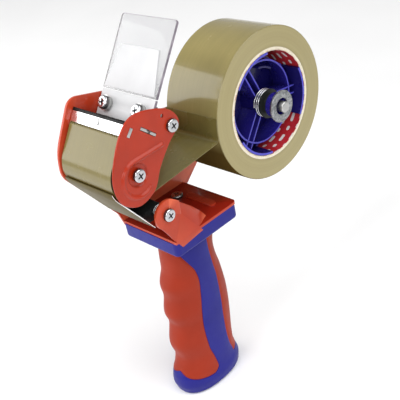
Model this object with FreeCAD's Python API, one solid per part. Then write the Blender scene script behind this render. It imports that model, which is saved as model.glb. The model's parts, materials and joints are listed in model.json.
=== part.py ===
import FreeCAD, Part
import math
import os

# Hand-held carton-tape dispenser.  Millimetres.
# Working axes while modelling: X forward to the blade, Y towards the open side where the roll
# is loaded, Z up, zero on the roll's axis at the middle of the tape.  finish_node() moves
# every solid so that the stored origin is the centre of the hand grip.
GRIP_CENTRE = (85.0, 0.0, -130.0)

# Tape
TAPE_WIDTH = 50.0
CORE_BORE_R = 38.1
CORE_OUTER_R = 40.2
ROLL_R = 54.9
TAPE_THICK = 0.4
RUN_GAP = 0.3
LABEL_THICK = 0.3

# Pressed steel
SHEET = 2.0
NEAR_SHEET = 1.5
FAR_INNER = -26.6
NEAR_INNER = 26.2
FAR_OUTER = FAR_INNER - SHEET
NEAR_OUTER = NEAR_INNER + NEAR_SHEET
EAR_INNER = NEAR_OUTER - SHEET
FLOOR_TOP = -51.0
FLOOR_BOTTOM = FLOOR_TOP - SHEET
SADDLE_REAR = 52.0
SADDLE_FRONT = 111.5
COLLAR_BOTTOM = -64.5

# Cross members, (X, Z) of each axis
ROLLER_AXIS = (127.3, 9.2)
BOLT_AXIS = (94.2, 27.8)
SHAFT_AXIS = (112.2, -28.2)
ROLLER_R = 18.4
ROLLER_CORE_R = 14.0
AXLE_R = 4.0
FIT = 0.05
SHAFT_R = 3.0
SCREW_SHANK_R = 2.0
SCREW_LENGTH = 9.0
PAN_R = 4.4
PAN_HEIGHT = 2.6

# Spindle and hub
STUD_R = 4.0
STUD_END = 38.5
HUB_R = 37.5
HUB_BACK = -22.0
HUB_FRONT = 24.7
HUB_FLAT_FRONT = 8.0
HUB_RIB_FRONT = 16.5
HUB_DISC_Y = 0.0
HUB_WALL = 1.8
HUB_RIB = 1.2
HUB_LOBE_ANGLES = (67.0, 187.0, 307.0)
HUB_LOBE_HALF_ANGLE = 29.0
HUB_RING_R = 30.6
SEAT_BACK = 22.6
KNOB_BACK = 27.0
KNOB_R = 8.8
WASHER_BACK = 33.2
WASHER_THICK = 1.6
WASHER_R = 11.5
WASHER_BORE_R = 6.0

# Wiper: its plane leans back from (WIPER_X, WIPER_Z)
WIPER_X = 101.0
WIPER_Z = 46.0
WIPER_LEAN = 36.0
WIPER_THICK = 2.0
WIPER_HALF = 26.0
WIPER_LOW = -16.0
WIPER_TOP = 50.5
WIPER_BEND = 1.2
WIPER_BEND_GAP = 0.3
WIPER_SCREW_Y = 16.5
WIPER_SCREW_S = -8.0

# Handle sections: Z, front X, rear X, half width
HANDLE_SECTIONS = (
    (-60.0, 101.5, 59.5, 18.0),
    (-72.0, 102.5, 61.5, 17.6),
    (-84.0, 104.0, 63.6, 17.0),
    (-92.0, 105.0, 63.0, 16.8),
    (-104.0, 110.0, 60.3, 16.6),
    (-112.5, 109.2, 59.2, 16.5),
    (-127.0, 112.5, 57.9, 16.5),
    (-136.5, 110.4, 58.2, 16.5),
    (-155.0, 114.4, 59.8, 16.6),
    (-168.0, 111.8, 61.8, 16.9),
    (-176.0, 113.8, 62.2, 17.2),
    (-185.0, 118.8, 60.2, 18.0),
    (-191.0, 119.6, 58.8, 18.8),
    (-196.0, 118.4, 59.8, 18.4),
    (-199.0, 114.5, 63.5, 15.8),
)
SECTION_POWER = 2.3
SECTION_POINTS = 20
BUTT_BOTTOM = HANDLE_SECTIONS[-1][0]
CORE_BAR = (72.0, 102.0, 8.0)


def vec(x, y, z):
    return FreeCAD.Vector(x, y, z)


def finish_node(name, shape):
    """Move one node into the stored frame and write it."""
    moved = shape.copy()
    moved.translate(vec(-GRIP_CENTRE[0], -GRIP_CENTRE[1], -GRIP_CENTRE[2]))
    moved.exportStep("parts/" + name + ".step")


def disc(axis, radius, y_from, y_to):
    """Cylinder along Y about an (X, Z) axis."""
    return Part.makeCylinder(radius, y_to - y_from, vec(axis[0], y_from, axis[1]), vec(0, 1, 0))


def tube(axis, outer, inner, y_from, y_to):
    return disc(axis, outer, y_from, y_to).cut(disc(axis, inner, y_from - 1, y_to + 1))


def box(x_span, y_span, z_span):
    return Part.makeBox(
        x_span[1] - x_span[0], y_span[1] - y_span[0], z_span[1] - z_span[0],
        vec(x_span[0], y_span[0], z_span[0]))


def rounded_wire(corners):
    """Closed wire in the XZ plane from (x, z, radius) corners joined by tangent arcs."""
    count = len(corners)
    starts, ends, middles = [], [], []
    for i in range(count):
        x, z, radius = corners[i]
        here = vec(x, 0, z)
        before = vec(corners[i - 1][0], 0, corners[i - 1][1]) - here
        after = vec(corners[(i + 1) % count][0], 0, corners[(i + 1) % count][1]) - here
        half = before.getAngle(after) / 2
        before.normalize()
        after.normalize()
        if radius <= 0:
            starts.append(here)
            ends.append(here)
            middles.append(None)
            continue
        reach = radius / math.tan(half)
        inward = before + after
        inward.normalize()
        centre = here + inward * (radius / math.sin(half))
        starts.append(here + before * reach)
        ends.append(here + after * reach)
        middles.append(centre - inward * radius)
    edges = []
    for i in range(count):
        if middles[i] is not None:
            edges.append(Part.Arc(starts[i], middles[i], ends[i]).toShape())
        following = starts[(i + 1) % count]
        if ends[i].distanceToPoint(following) > 1e-6:
            edges.append(Part.LineSegment(ends[i], following).toShape())
    return Part.Wire(edges)


def smooth_wire(points, y=0.0):
    """Closed smooth curve through (x, z) points."""
    curve = Part.BSplineCurve()
    curve.interpolate([vec(x, y, z) for x, z in points], PeriodicFlag=True)
    return Part.Wire([curve.toShape()])


def slab(wire, y_from, y_to):
    face = Part.Face(wire)
    face.translate(vec(0, y_from, 0))
    return face.extrude(vec(0, y_to - y_from, 0))


def polygon_slab(points, y_from, y_to):
    corners = [vec(x, y_from, z) for x, z in points]
    face = Part.Face(Part.makePolygon(corners + corners[:1]))
    return face.extrude(vec(0, y_to - y_from, 0))


def join(shapes):
    result = shapes[0].multiFuse(list(shapes[1:])) if len(shapes) > 1 else shapes[0]
    return result.removeSplitter()


def along(point, angle, distance):
    """(X, Z) point at a distance along an angle measured from +X towards +Z."""
    turn = math.radians(angle)
    return (point[0] + distance * math.cos(turn), point[1] + distance * math.sin(turn))


def straight(start, end):
    """Line between two (X, Z) points."""
    return Part.LineSegment(vec(start[0], 0, start[1]), vec(end[0], 0, end[1])).toShape()


def arc(start, middle, end):
    """Arc through three (X, Z) points."""
    return Part.Arc(vec(start[0], 0, start[1]), vec(middle[0], 0, middle[1]),
                    vec(end[0], 0, end[1])).toShape()


def tilted(shape, s, offset):
    """Place a shape drawn upright: its Z runs up the wiper and its X out of its front face."""
    placed = shape.copy()
    lean = math.radians(WIPER_LEAN)
    placed.rotate(vec(0, 0, 0), vec(0, 1, 0), -WIPER_LEAN)
    x = WIPER_X - s * math.sin(lean) + offset * math.cos(lean)
    z = WIPER_Z + s * math.cos(lean) + offset * math.sin(lean)
    placed.translate(vec(x, 0, z))
    return placed


def pan_head(axis, y_face, outward):
    """Pan-head screw whose shank runs inward from y_face; outward is +1 or -1 along Y."""
    head = Part.makeCylinder(PAN_R, PAN_HEIGHT, vec(0, 0, 0), vec(0, 1, 0))
    rim = [edge for edge in head.Edges if abs(edge.CenterOfMass.y - PAN_HEIGHT) < 0.01]
    head = head.makeFillet(1.2, [edge for edge in rim if edge.Length > 1][:1])
    for turn in (0, 90):
        arm = box((-2.4, 2.4), (PAN_HEIGHT - 1.3, PAN_HEIGHT + 1), (-0.45, 0.45))
        arm.rotate(vec(0, 0, 0), vec(0, 1, 0), turn + 20)
        head = head.cut(arm)
    shank = Part.makeCylinder(SCREW_SHANK_R, SCREW_LENGTH, vec(0, -SCREW_LENGTH, 0), vec(0, 1, 0))
    screw = head.fuse(shank).removeSplitter()
    if outward < 0:
        screw.rotate(vec(0, 0, 0), vec(1, 0, 0), 180)
    screw.translate(vec(axis[0], y_face, axis[1]))
    return screw


# ---------------------------------------------------------------- frame

EAR_FRONT = ((106.4, -57.4), (124.3, -27.8))
CREASE_TOP = (101.9, -33.2)
CREASE_FOOT = (86.6, -55.2)
CREASE_ANGLE = 30.0
SLOT_PLAY = 0.15
HEAD_SLOTS = (((123.6, 39.5), (127.8, 35.0), 1.3), ((107.4, 27.0), (117.5, 36.4), 1.2))


def slot_cutter(start, end, half, y_from, y_to):
    """Straight slot through a plate between two (X, Z) points."""
    dx, dz = end[0] - start[0], end[1] - start[1]
    length = math.hypot(dx, dz)
    ux, uz = dx / length, dz / length
    points = []
    for sx, sz, side in ((start[0], start[1], 1), (end[0], end[1], 1), (end[0], end[1], -1),
                         (start[0], start[1], -1)):
        points.append((sx - side * half * uz, sz + side * half * ux))
    return polygon_slab(points, y_from, y_to)


def far_plate():
    outline = rounded_wire((
        (100.0, 44.0, 14.0), (127.0, 50.8, 9.0), (146.0, 20.0, 40.0), (147.8, 3.2, 14.0),
        (114.0, -44.2, 8.0), (110.2, -57.0, 1.5), (52.0, -57.0, 2.0), (30.0, -38.5, 25.0),
        (-4.0, -24.0, 16.0), (-21.0, -4.0, 16.0), (-12.0, 21.0, 15.0), (22.0, 15.0, 30.0),
        (56.0, 7.0, 30.0), (84.0, 35.0, 16.0)))
    plate = slab(outline, FAR_OUTER, FAR_INNER)
    for axis, radius in (((0.0, 0.0), STUD_R), (ROLLER_AXIS, SCREW_SHANK_R),
                         (BOLT_AXIS, SCREW_SHANK_R), (SHAFT_AXIS, SCREW_SHANK_R)):
        plate = plate.cut(disc(axis, radius, FAR_OUTER - 1, FAR_INNER + 1))
    for start, end, half in HEAD_SLOTS:
        plate = plate.cut(slot_cutter(start, end, half, FAR_OUTER - 1, FAR_INNER + 1))
    return plate


def far_plate_beads():
    """Raised stiffening bead pressed along the arm and a ring round the roller's screw."""
    arm = slab(rounded_wire(((14.0, 4.0, 4.0), (57.0, -4.0, 12.0), (82.0, 14.0, 4.0), (88.0, -34.0, 9.0),
                             (62.0, -40.0, 9.0))), FAR_OUTER - 1.0, FAR_OUTER)
    arm_inner = slab(rounded_wire(((23.0, 1.0, 3.0), (57.0, -8.0, 10.0), (78.0, 7.0, 3.0), (83.0, -30.0, 7.0),
                                   (63.0, -34.5, 7.0))), FAR_OUTER - 2.0, FAR_OUTER + 0.5)
    ring = tube(ROLLER_AXIS, 13.0, 10.0, FAR_OUTER - 1.0, FAR_OUTER)
    return [arm.cut(arm_inner), ring]


SADDLE_SCREWS = ((69.5, -15.0), (97.0, 12.0))


def saddle_floor():
    floor = box((SADDLE_REAR, SADDLE_FRONT), (FAR_INNER - 0.5, NEAR_OUTER), (FLOOR_BOTTOM, FLOOR_TOP))
    rear = [edge for edge in floor.Edges
            if abs(edge.CenterOfMass.x - SADDLE_REAR) < 0.01
            and abs(edge.CenterOfMass.y - NEAR_OUTER) < 0.01]
    floor = floor.makeFillet(3.0, rear)
    bead = box((61.0, 67.0), (-10.0, 18.0), (FLOOR_TOP - 0.5, FLOOR_TOP + 1.4))
    upright = [edge for edge in bead.Edges if abs(edge.tangentAt(0).z) > 0.9]
    bead = bead.makeFillet(2.8, upright)
    floor = floor.fuse(bead)
    for x, y in SADDLE_SCREWS:
        floor = floor.cut(Part.makeCylinder(SCREW_SHANK_R, 6, vec(x, y, FLOOR_BOTTOM - 2)))
    return floor


def near_ear():
    front = polygon_slab((EAR_FRONT[0], (111.3, -49.8), (116.4, -40.4), (121.6, -32.4),
                          CREASE_TOP, CREASE_FOOT), EAR_INNER, NEAR_OUTER)
    lobe = disc(SHAFT_AXIS, 10.5, EAR_INNER, NEAR_OUTER)
    shoulder = polygon_slab(((105.3, -20.3), (112.2, -28.2), CREASE_TOP, (101.2, -23.6)),
                            EAR_INNER, NEAR_OUTER)
    ear = join([front, lobe, shoulder])
    ear = ear.cut(disc(SHAFT_AXIS, SCREW_SHANK_R, EAR_INNER - 1, NEAR_OUTER + 1))
    gusset = polygon_slab((CREASE_TOP, (101.2, -23.6), (95.7, -28.2), (86.8, -36.0), (78.9, -44.9),
                           (72.5, -55.0), CREASE_FOOT), EAR_INNER, NEAR_OUTER)
    hinge = vec(CREASE_TOP[0] - CREASE_FOOT[0], 0, CREASE_TOP[1] - CREASE_FOOT[1])
    gusset.rotate(vec(CREASE_FOOT[0], NEAR_OUTER, CREASE_FOOT[1]), hinge, CREASE_ANGLE)
    below = box((0, 200), (-60, 60), (-90, FLOOR_BOTTOM))
    return ear, gusset.cut(below)


def base_frame():
    ear, gusset = near_ear()
    parts = [far_plate(), saddle_floor(), ear, gusset] + far_plate_beads()
    return join(parts)


def head_plate_near():
    outline = smooth_wire(((104.0, 43.3), (120.0, 46.6), (130.4, 41.7), (140.0, 28.4), (146.2, 12.0),
                           (143.5, -3.0), (131.2, -11.1), (117.5, -7.0), (109.3, 5.2), (98.3, 17.3),
                           (87.6, 26.5), (91.5, 36.5)))
    plate = slab(outline, NEAR_INNER, NEAR_OUTER)
    ring = tube(ROLLER_AXIS, 13.0, 10.4, NEAR_OUTER - 0.4, NEAR_OUTER + 0.8)
    bead = slot_cutter((102.5, 27.5), (117.0, 14.5), 1.3, NEAR_OUTER - 0.4, NEAR_OUTER + 0.8)
    plate = join([plate, ring, bead])
    for axis in (ROLLER_AXIS, BOLT_AXIS):
        plate = plate.cut(disc(axis, SCREW_SHANK_R, NEAR_INNER - 1, NEAR_OUTER + 2))
    plate = plate.cut(disc((99.7, 36.6), 1.3, NEAR_INNER - 1, NEAR_OUTER + 2))
    for start, end, half in HEAD_SLOTS:
        plate = plate.cut(slot_cutter(start, end, half, NEAR_INNER - 1, NEAR_OUTER + 2))
    return plate


# ---------------------------------------------------------------- blade, bracket, wiper

BLADE_ANGLE = 125.4
BLADE_FOOT = (132.2, 34.8)
BLADE_LENGTH = 11.6
BLADE_THICK = 0.9
TOOTH_PITCH = 2.0
TOOTH_DEPTH = 1.3


def tilted_bar(start, angle, length, depth, y_from, y_to):
    """Flat bar: start and angle give its front line, depth is its thickness behind that."""
    end = along(start, angle, length)
    behind = angle + 90
    return polygon_slab((start, end, along(end, behind, depth), along(start, behind, depth)), y_from, y_to)


def cutter_blade():
    blade = tilted_bar(BLADE_FOOT, BLADE_ANGLE, BLADE_LENGTH, BLADE_THICK,
                       FAR_INNER + 0.4, NEAR_INNER - 0.4)
    blade = blade.cut(blade_hole(BLADE_THICK + 2))
    count = int((NEAR_INNER - FAR_INNER - 2.0) / TOOTH_PITCH)
    first = -count * TOOTH_PITCH / 2
    top = along(BLADE_FOOT, BLADE_ANGLE, BLADE_LENGTH)
    notches = []
    for i in range(count):
        y = first + i * TOOTH_PITCH
        notch = Part.Face(Part.makePolygon([
            vec(0, y, 0.5), vec(0, y + TOOTH_PITCH / 2, -TOOTH_DEPTH), vec(0, y + TOOTH_PITCH, 0.5),
            vec(0, y, 0.5)])).extrude(vec(4, 0, 0))
        notch.translate(vec(-2, 0, 0))
        notch.rotate(vec(0, 0, 0), vec(0, 1, 0), 90 - BLADE_ANGLE)
        notch.translate(vec(top[0], 0, top[1]))
        notches.append(notch)
    return blade.cut(Part.makeCompound(notches))


def through_blade(radius, length, lift):
    """Cylinder through the blade's middle, square to its face, from lift in front of it."""
    middle = along(along(BLADE_FOOT, BLADE_ANGLE, 0.55 * BLADE_LENGTH), BLADE_ANGLE - 90, lift)
    normal = along((0.0, 0.0), BLADE_ANGLE + 90, 1.0)
    return Part.makeCylinder(radius, length, vec(middle[0], 0, middle[1]), vec(normal[0], 0, normal[1]))


def blade_hole(length):
    return through_blade(1.2, length, 1.0)


def blade_carrier():
    start = along(along(BLADE_FOOT, BLADE_ANGLE, 1.2), BLADE_ANGLE + 90, BLADE_THICK)
    bar = tilted_bar(start, BLADE_ANGLE, 8.6, 2.6, FAR_INNER, NEAR_INNER)
    slot_start, slot_end, slot_half = HEAD_SLOTS[0]
    slope = math.degrees(math.atan2(slot_end[1] - slot_start[1], slot_end[0] - slot_start[0]))
    tab_start = along(slot_start, slope, SLOT_PLAY)
    tab_end = along(slot_end, slope, -SLOT_PLAY)
    tab = slot_cutter(tab_start, tab_end, slot_half - SLOT_PLAY, FAR_OUTER, NEAR_OUTER)
    return join([bar, tab]).cut(blade_hole(12))


def blade_rivet():
    shank = through_blade(1.2, 3.7, 0.5)
    head = through_blade(2.2, 0.5, 0.5)
    return head.fuse(shank).removeSplitter()


def bracket_line():
    """Start, direction and length of the wiper bracket's shelf, set by its slot in the plates."""
    start, end, _half = HEAD_SLOTS[1]
    angle = math.degrees(math.atan2(end[1] - start[1], end[0] - start[0]))
    return start, angle, math.hypot(end[0] - start[0], end[1] - start[1])


def wiper_bracket():
    start, angle, length = bracket_line()
    shelf_start = along(start, angle - 90, 0.8)
    shelf = tilted_bar(along(shelf_start, angle, -0.5), angle, length + 0.5, 1.6, FAR_INNER, NEAR_INNER)
    tabs = []
    for offset in (0.2, length - 5.2):
        tab_start = along(shelf_start, angle, offset)
        tabs.append(tilted_bar(tab_start, angle, 5.0, 1.6, FAR_OUTER, NEAR_OUTER))
    flange = box((-1.6, 0), (FAR_INNER + 0.6, NEAR_INNER - 0.6), (0, 16.0))
    flange = tilted(flange, WIPER_LOW - 2.6, -WIPER_THICK)
    bracket = join([shelf] + tabs + [flange])
    for y in (-WIPER_SCREW_Y, WIPER_SCREW_Y):
        bracket = bracket.cut(wiper_bore(y, SCREW_SHANK_R))
    return bracket


def wiper_bore(y, radius):
    bore = Part.makeCylinder(radius, 30, vec(-15, y, 0), vec(1, 0, 0))
    return tilted(bore, WIPER_SCREW_S, 0)


def wiper_sheet(low, high, y_half_low, y_half_high, back, front):
    sheet = Part.Face(Part.makePolygon([
        vec(back, -y_half_low, low), vec(back, y_half_low, low), vec(back, y_half_high, high),
        vec(back, -y_half_high, high), vec(back, -y_half_low, low)])).extrude(vec(front - back, 0, 0))
    return sheet


def wiper_foot():
    sheet = wiper_sheet(WIPER_LOW, WIPER_BEND - WIPER_BEND_GAP, WIPER_HALF, WIPER_HALF, -WIPER_THICK, 0)
    foot = tilted(sheet, 0, 0)
    for y in (-WIPER_SCREW_Y, WIPER_SCREW_Y):
        foot = foot.cut(wiper_bore(y, SCREW_SHANK_R))
    return foot


def wiper_leaf():
    leaf = wiper_sheet(WIPER_BEND + WIPER_BEND_GAP, WIPER_TOP, WIPER_HALF, WIPER_HALF, -WIPER_THICK, 0)
    tops = [edge for edge in leaf.Edges if abs(edge.CenterOfMass.z - WIPER_TOP) < 0.01
            and abs(abs(edge.CenterOfMass.y) - WIPER_HALF) < 0.01]
    return tilted(leaf.makeFillet(2.0, tops), 0, 0)


def wiper_stiffener():
    return tilted(wiper_sheet(WIPER_BEND + 1.4, 31.0, 24.5, 18.0, 0, 0.8), 0, 0)


def wiper_fasteners():
    """Two pan screws, each with a washer and a spacer sleeve, in front of the wiper's foot."""
    screws, washers, sleeves = [], [], []
    for y in (-WIPER_SCREW_Y, WIPER_SCREW_Y):
        sleeve = Part.makeCylinder(4.2, 2.4, vec(0, y, 0), vec(1, 0, 0))
        sleeves.append(tilted(sleeve, WIPER_SCREW_S, 0).cut(wiper_bore(y, SCREW_SHANK_R)))
        washer = Part.makeCylinder(5.0, 0.9, vec(2.4, y, 0), vec(1, 0, 0))
        washers.append(tilted(washer, WIPER_SCREW_S, 0).cut(wiper_bore(y, SCREW_SHANK_R)))
        screw = pan_head((0, 0), 0, 1)
        screw.rotate(vec(0, 0, 0), vec(0, 0, 1), -90)
        screw.translate(vec(3.3, y, 0))
        screws.append(tilted(screw, WIPER_SCREW_S, 0))
    return screws, washers, sleeves


# ---------------------------------------------------------------- cross members and rollers

def axle(axis, radius, near_face):
    """Tapped cross shaft between the plates, with a screw hole in each end."""
    shaft = disc(axis, radius, FAR_INNER, near_face)
    shaft = shaft.cut(disc(axis, SCREW_SHANK_R, FAR_INNER - 1, FAR_OUTER + SCREW_LENGTH))
    return shaft.cut(disc(axis, SCREW_SHANK_R, NEAR_OUTER - SCREW_LENGTH, near_face + 1))


def end_screws(axis, near_outer):
    return [pan_head(axis, near_outer, 1), pan_head(axis, FAR_OUTER, -1)]


ROLLER_HALF = 25.0
BUSH_LENGTH = 6.0
BUSH_R = 6.5


def roller_core():
    core = disc(ROLLER_AXIS, ROLLER_CORE_R, -ROLLER_HALF, ROLLER_HALF)
    core = core.cut(disc(ROLLER_AXIS, BUSH_R, -ROLLER_HALF - 1, ROLLER_HALF + 1))
    for side in (-1, 1):
        y_from, y_to = sorted((side * (ROLLER_HALF - 3.0), side * (ROLLER_HALF + 1.0)))
        core = core.cut(tube(ROLLER_AXIS, 12.2, 8.3, y_from, y_to))
    return core


def roller_bushes():
    bushes = []
    for side in (-1, 1):
        y_from, y_to = sorted((side * (ROLLER_HALF - BUSH_LENGTH), side * ROLLER_HALF))
        bushes.append(tube(ROLLER_AXIS, BUSH_R, AXLE_R + FIT, y_from, y_to))
    return bushes


# ---------------------------------------------------------------- guide flap

FLAP_FOOT = (121.6, -33.2)
FLAP_THICK = 0.8
FLAP_GAP = 0.6
FLAP_HALF = 24.4
CARRIER_R = 5.2
CARRIER_HALF = 17.0


def flap_geometry():
    """Touching line from the flap's foot to just outside the tape on the roller."""
    radius = ROLLER_R + 0.35 + TAPE_THICK + FLAP_GAP
    dx, dz = ROLLER_AXIS[0] - FLAP_FOOT[0], ROLLER_AXIS[1] - FLAP_FOOT[1]
    reach = math.hypot(dx, dz)
    swing = math.degrees(math.asin(radius / reach))
    angle = math.degrees(math.atan2(dz, dx)) - swing
    return angle, math.sqrt(reach * reach - radius * radius), radius


def guide_flap():
    angle, length, radius = flap_geometry()
    touch = along(FLAP_FOOT, angle, length)
    tip_angle = angle - 90 + 22
    tip = along(ROLLER_AXIS, tip_angle, radius)
    middle = along(ROLLER_AXIS, tip_angle - 11, radius)
    outer = radius + FLAP_THICK
    tip_out = along(ROLLER_AXIS, tip_angle, outer)
    middle_out = along(ROLLER_AXIS, tip_angle - 11, outer)
    touch_out = along(touch, angle - 90, FLAP_THICK)
    foot_out = along(FLAP_FOOT, angle - 90, FLAP_THICK)
    edges = [
        straight(FLAP_FOOT, touch),
        arc(touch, middle, tip),
        straight(tip, tip_out),
        arc(tip_out, middle_out, touch_out),
        straight(touch_out, foot_out),
        straight(foot_out, FLAP_FOOT)]
    return slab(Part.Wire(edges), -FLAP_HALF, FLAP_HALF)


def flap_carrier():
    """Moulded arm that carries the flap on the lower shaft."""
    angle, _length, _radius = flap_geometry()
    upper = along(FLAP_FOOT, angle, 9.0)
    web = polygon_slab((FLAP_FOOT, upper, (SHAFT_AXIS[0] + 1.0, SHAFT_AXIS[1] + 4.9),
                        (SHAFT_AXIS[0] + 1.5, SHAFT_AXIS[1] - 4.8)), -CARRIER_HALF, CARRIER_HALF)
    barrel = disc(SHAFT_AXIS, CARRIER_R, -CARRIER_HALF, CARRIER_HALF)
    carrier = join([web, barrel])
    return carrier.cut(disc(SHAFT_AXIS, SHAFT_R + FIT, -CARRIER_HALF - 1, CARRIER_HALF + 1))


def coil(axis, mean_r, wire_r, y_from, turns, pitch):
    """Coil spring along Y."""
    helix = Part.makeHelix(pitch, turns * pitch, mean_r)
    section = Part.Wire([Part.makeCircle(wire_r, vec(mean_r, 0, 0), vec(0, 1, 0))])
    solid = Part.Wire(helix.Edges).makePipeShell([section], True, True)
    solid.rotate(vec(0, 0, 0), vec(1, 0, 0), -90)
    solid.translate(vec(axis[0], y_from, axis[1]))
    return solid


# ---------------------------------------------------------------- roll and hub

def ring_sector(outer, inner, angle_from, angle_to, y_from, y_to):
    """Part of a tube between two angles measured from +X towards +Z."""
    sweep = angle_to - angle_from
    wedge = [(0.0, 0.0)]
    for step in range(5):
        wedge.append(along((0.0, 0.0), angle_from + sweep * step / 4, outer * 1.3))
    sector = polygon_slab(wedge, y_from, y_to)
    return tube((0.0, 0.0), outer, inner, y_from, y_to).common(sector)


def hub_outline(radius):
    """Three round lobes joined by straight flats."""
    edges = []
    for index, angle in enumerate(HUB_LOBE_ANGLES):
        first = along((0, 0), angle - HUB_LOBE_HALF_ANGLE, radius)
        middle = along((0, 0), angle, radius)
        last = along((0, 0), angle + HUB_LOBE_HALF_ANGLE, radius)
        following = HUB_LOBE_ANGLES[(index + 1) % 3]
        next_first = along((0, 0), following - HUB_LOBE_HALF_ANGLE, radius)
        edges.append(arc(first, middle, last))
        edges.append(straight(last, next_first))
    return Part.Wire(edges)


HUB_CENTRE = (0.0, 0.0)
HUB_INNER_R = HUB_R - HUB_WALL
HUB_BOSS_R = 8.0
HUB_DISC_FRONT = HUB_DISC_Y + 2.0


def hub_shell():
    """Outer wall: lobed tube whose three lobes reach further to the front."""
    shell = slab(hub_outline(HUB_R), HUB_BACK, HUB_FLAT_FRONT)
    parts = [shell.cut(slab(hub_outline(HUB_INNER_R), HUB_BACK - 1, HUB_FLAT_FRONT + 1))]
    for angle in HUB_LOBE_ANGLES:
        low, high = angle - HUB_LOBE_HALF_ANGLE, angle + HUB_LOBE_HALF_ANGLE
        parts.append(ring_sector(HUB_R, HUB_INNER_R, low, high, HUB_FLAT_FRONT - 1, HUB_FRONT))
    return join(parts)


def hub_boss():
    return disc(HUB_CENTRE, HUB_BOSS_R, HUB_BACK - 2.0, HUB_RIB_FRONT - 1.0)


def hub_web():
    """Disc across the drum with the bored boss and one short curved lug."""
    plate = slab(hub_outline(HUB_INNER_R), HUB_DISC_Y, HUB_DISC_FRONT)
    lug = ring_sector(25.5, 24.0, 96.0, 128.0, HUB_DISC_Y + 1.0, HUB_RIB_FRONT - 1.5)
    return join([plate, hub_boss(), lug]).cut(disc(HUB_CENTRE, STUD_R + FIT, HUB_BACK - 4, HUB_FRONT + 1))


def hub_ring():
    return tube(HUB_CENTRE, HUB_RING_R, HUB_RING_R - 1.4, HUB_DISC_FRONT, HUB_RIB_FRONT)


def hub_ribs():
    """Pairs of ribs from the boss to the wall, parted by the ring."""
    room = slab(hub_outline(HUB_INNER_R), HUB_DISC_FRONT, HUB_RIB_FRONT)
    ribs = []
    for angle in HUB_LOBE_ANGLES:
        for side in (-2.9, 2.9):
            rib = box((6.0, HUB_R), (HUB_DISC_FRONT, HUB_RIB_FRONT), (side - HUB_RIB / 2, side + HUB_RIB / 2))
            rib.rotate(vec(0, 0, 0), vec(0, 1, 0), -angle)
            ribs.extend(rib.common(room).cut(hub_boss()).cut(hub_ring()).Solids)
    return Part.makeCompound(ribs)


def brake_seat():
    """Flanged bush on the stud that the spring pushes against."""
    flange = disc(HUB_CENTRE, 10.6, SEAT_BACK, SEAT_BACK + 0.9)
    neck = disc(HUB_CENTRE, 6.6, SEAT_BACK, KNOB_BACK)
    return join([flange, neck]).cut(disc(HUB_CENTRE, STUD_R + FIT, SEAT_BACK - 1, KNOB_BACK + 1))


def brake_knob():
    """Fluted barrel with a deep counterbore round the stud's end."""
    body = disc(HUB_CENTRE, KNOB_R, KNOB_BACK, WASHER_BACK)
    flutes = []
    for i in range(12):
        flutes.append(disc(along(HUB_CENTRE, 30.0 * i, KNOB_R + 0.5), 0.9, KNOB_BACK + 1.0, WASHER_BACK))
    knob = body.cut(Part.makeCompound(flutes))
    knob = knob.cut(disc(HUB_CENTRE, WASHER_BORE_R, WASHER_BACK - 4.2, WASHER_BACK + 1))
    return knob.cut(disc(HUB_CENTRE, STUD_R + FIT, KNOB_BACK - 1, WASHER_BACK + 5))


def spindle_stud():
    stud = disc((0, 0), STUD_R, FAR_OUTER - 1.0, STUD_END)
    front = [edge for edge in stud.Edges if abs(edge.CenterOfMass.y - STUD_END) < 0.01 and edge.Length > 1]
    stud = stud.makeFillet(1.2, front[:1])
    head = disc((0, 0), 8.0, FAR_OUTER - 3.4, FAR_OUTER)
    collar = disc((0, 0), 7.0, FAR_INNER, HUB_BACK - 2.3)
    return join([stud, head, collar])


# ---------------------------------------------------------------- tape

def tape_web():
    """Strand of tape from the roll, under and round the roller, up to the blade."""
    inner_r = ROLLER_R + 0.35
    mid_r = inner_r + TAPE_THICK / 2
    roll_r = ROLL_R + RUN_GAP + TAPE_THICK / 2
    bend = 3.0
    peel_angle = -1.0
    corner = along((0, 0), peel_angle, roll_r)
    bend_centre = (corner[0] + bend, corner[1])
    ax, az = ROLLER_AXIS
    dx, dz = ax - bend_centre[0], az - bend_centre[1]
    reach = math.hypot(dx, dz)
    run_angle = math.degrees(math.atan2(dz, dx)) - math.degrees(math.asin((mid_r - bend) / reach))
    leave = along(bend_centre, run_angle - 90, bend)
    touch = along(ROLLER_AXIS, run_angle - 90, mid_r)
    blade_touch = along(along(BLADE_FOOT, BLADE_ANGLE, 0.2), BLADE_ANGLE - 90, 0.35)
    blade_end = along(along(BLADE_FOOT, BLADE_ANGLE, 2.6), BLADE_ANGLE - 90, 0.35)
    bx, bz = blade_touch[0] - ax, blade_touch[1] - az
    off_angle = math.degrees(math.atan2(bz, bx)) - math.degrees(math.acos(mid_r / math.hypot(bx, bz)))
    leave_roller = along(ROLLER_AXIS, off_angle, mid_r)
    start = along((0, 0), peel_angle + 14, roll_r)
    start_mid = along((0, 0), peel_angle + 7, roll_r)

    def point(p):
        return vec(p[0], 0, p[1])

    bend_start = along(bend_centre, 180.0 + peel_angle, bend)
    bend_mid = along(bend_centre, (180.0 + peel_angle + 270.0 + run_angle) / 2, bend)
    wrap_mid = along(ROLLER_AXIS, (run_angle - 90 + off_angle) / 2, mid_r)
    path = [
        Part.Arc(point(start), point(start_mid), point(bend_start)).toShape(),
        Part.Arc(point(bend_start), point(bend_mid), point(leave)).toShape(),
        Part.LineSegment(point(leave), point(touch)).toShape(),
        Part.Arc(point(touch), point(wrap_mid), point(leave_roller)).toShape(),
        Part.LineSegment(point(leave_roller), point(blade_touch)).toShape(),
        Part.LineSegment(point(blade_touch), point(blade_end)).toShape()]
    strands = []
    for edge in path:
        strands.append(thick_strand(edge))
    return join(strands)


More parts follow.
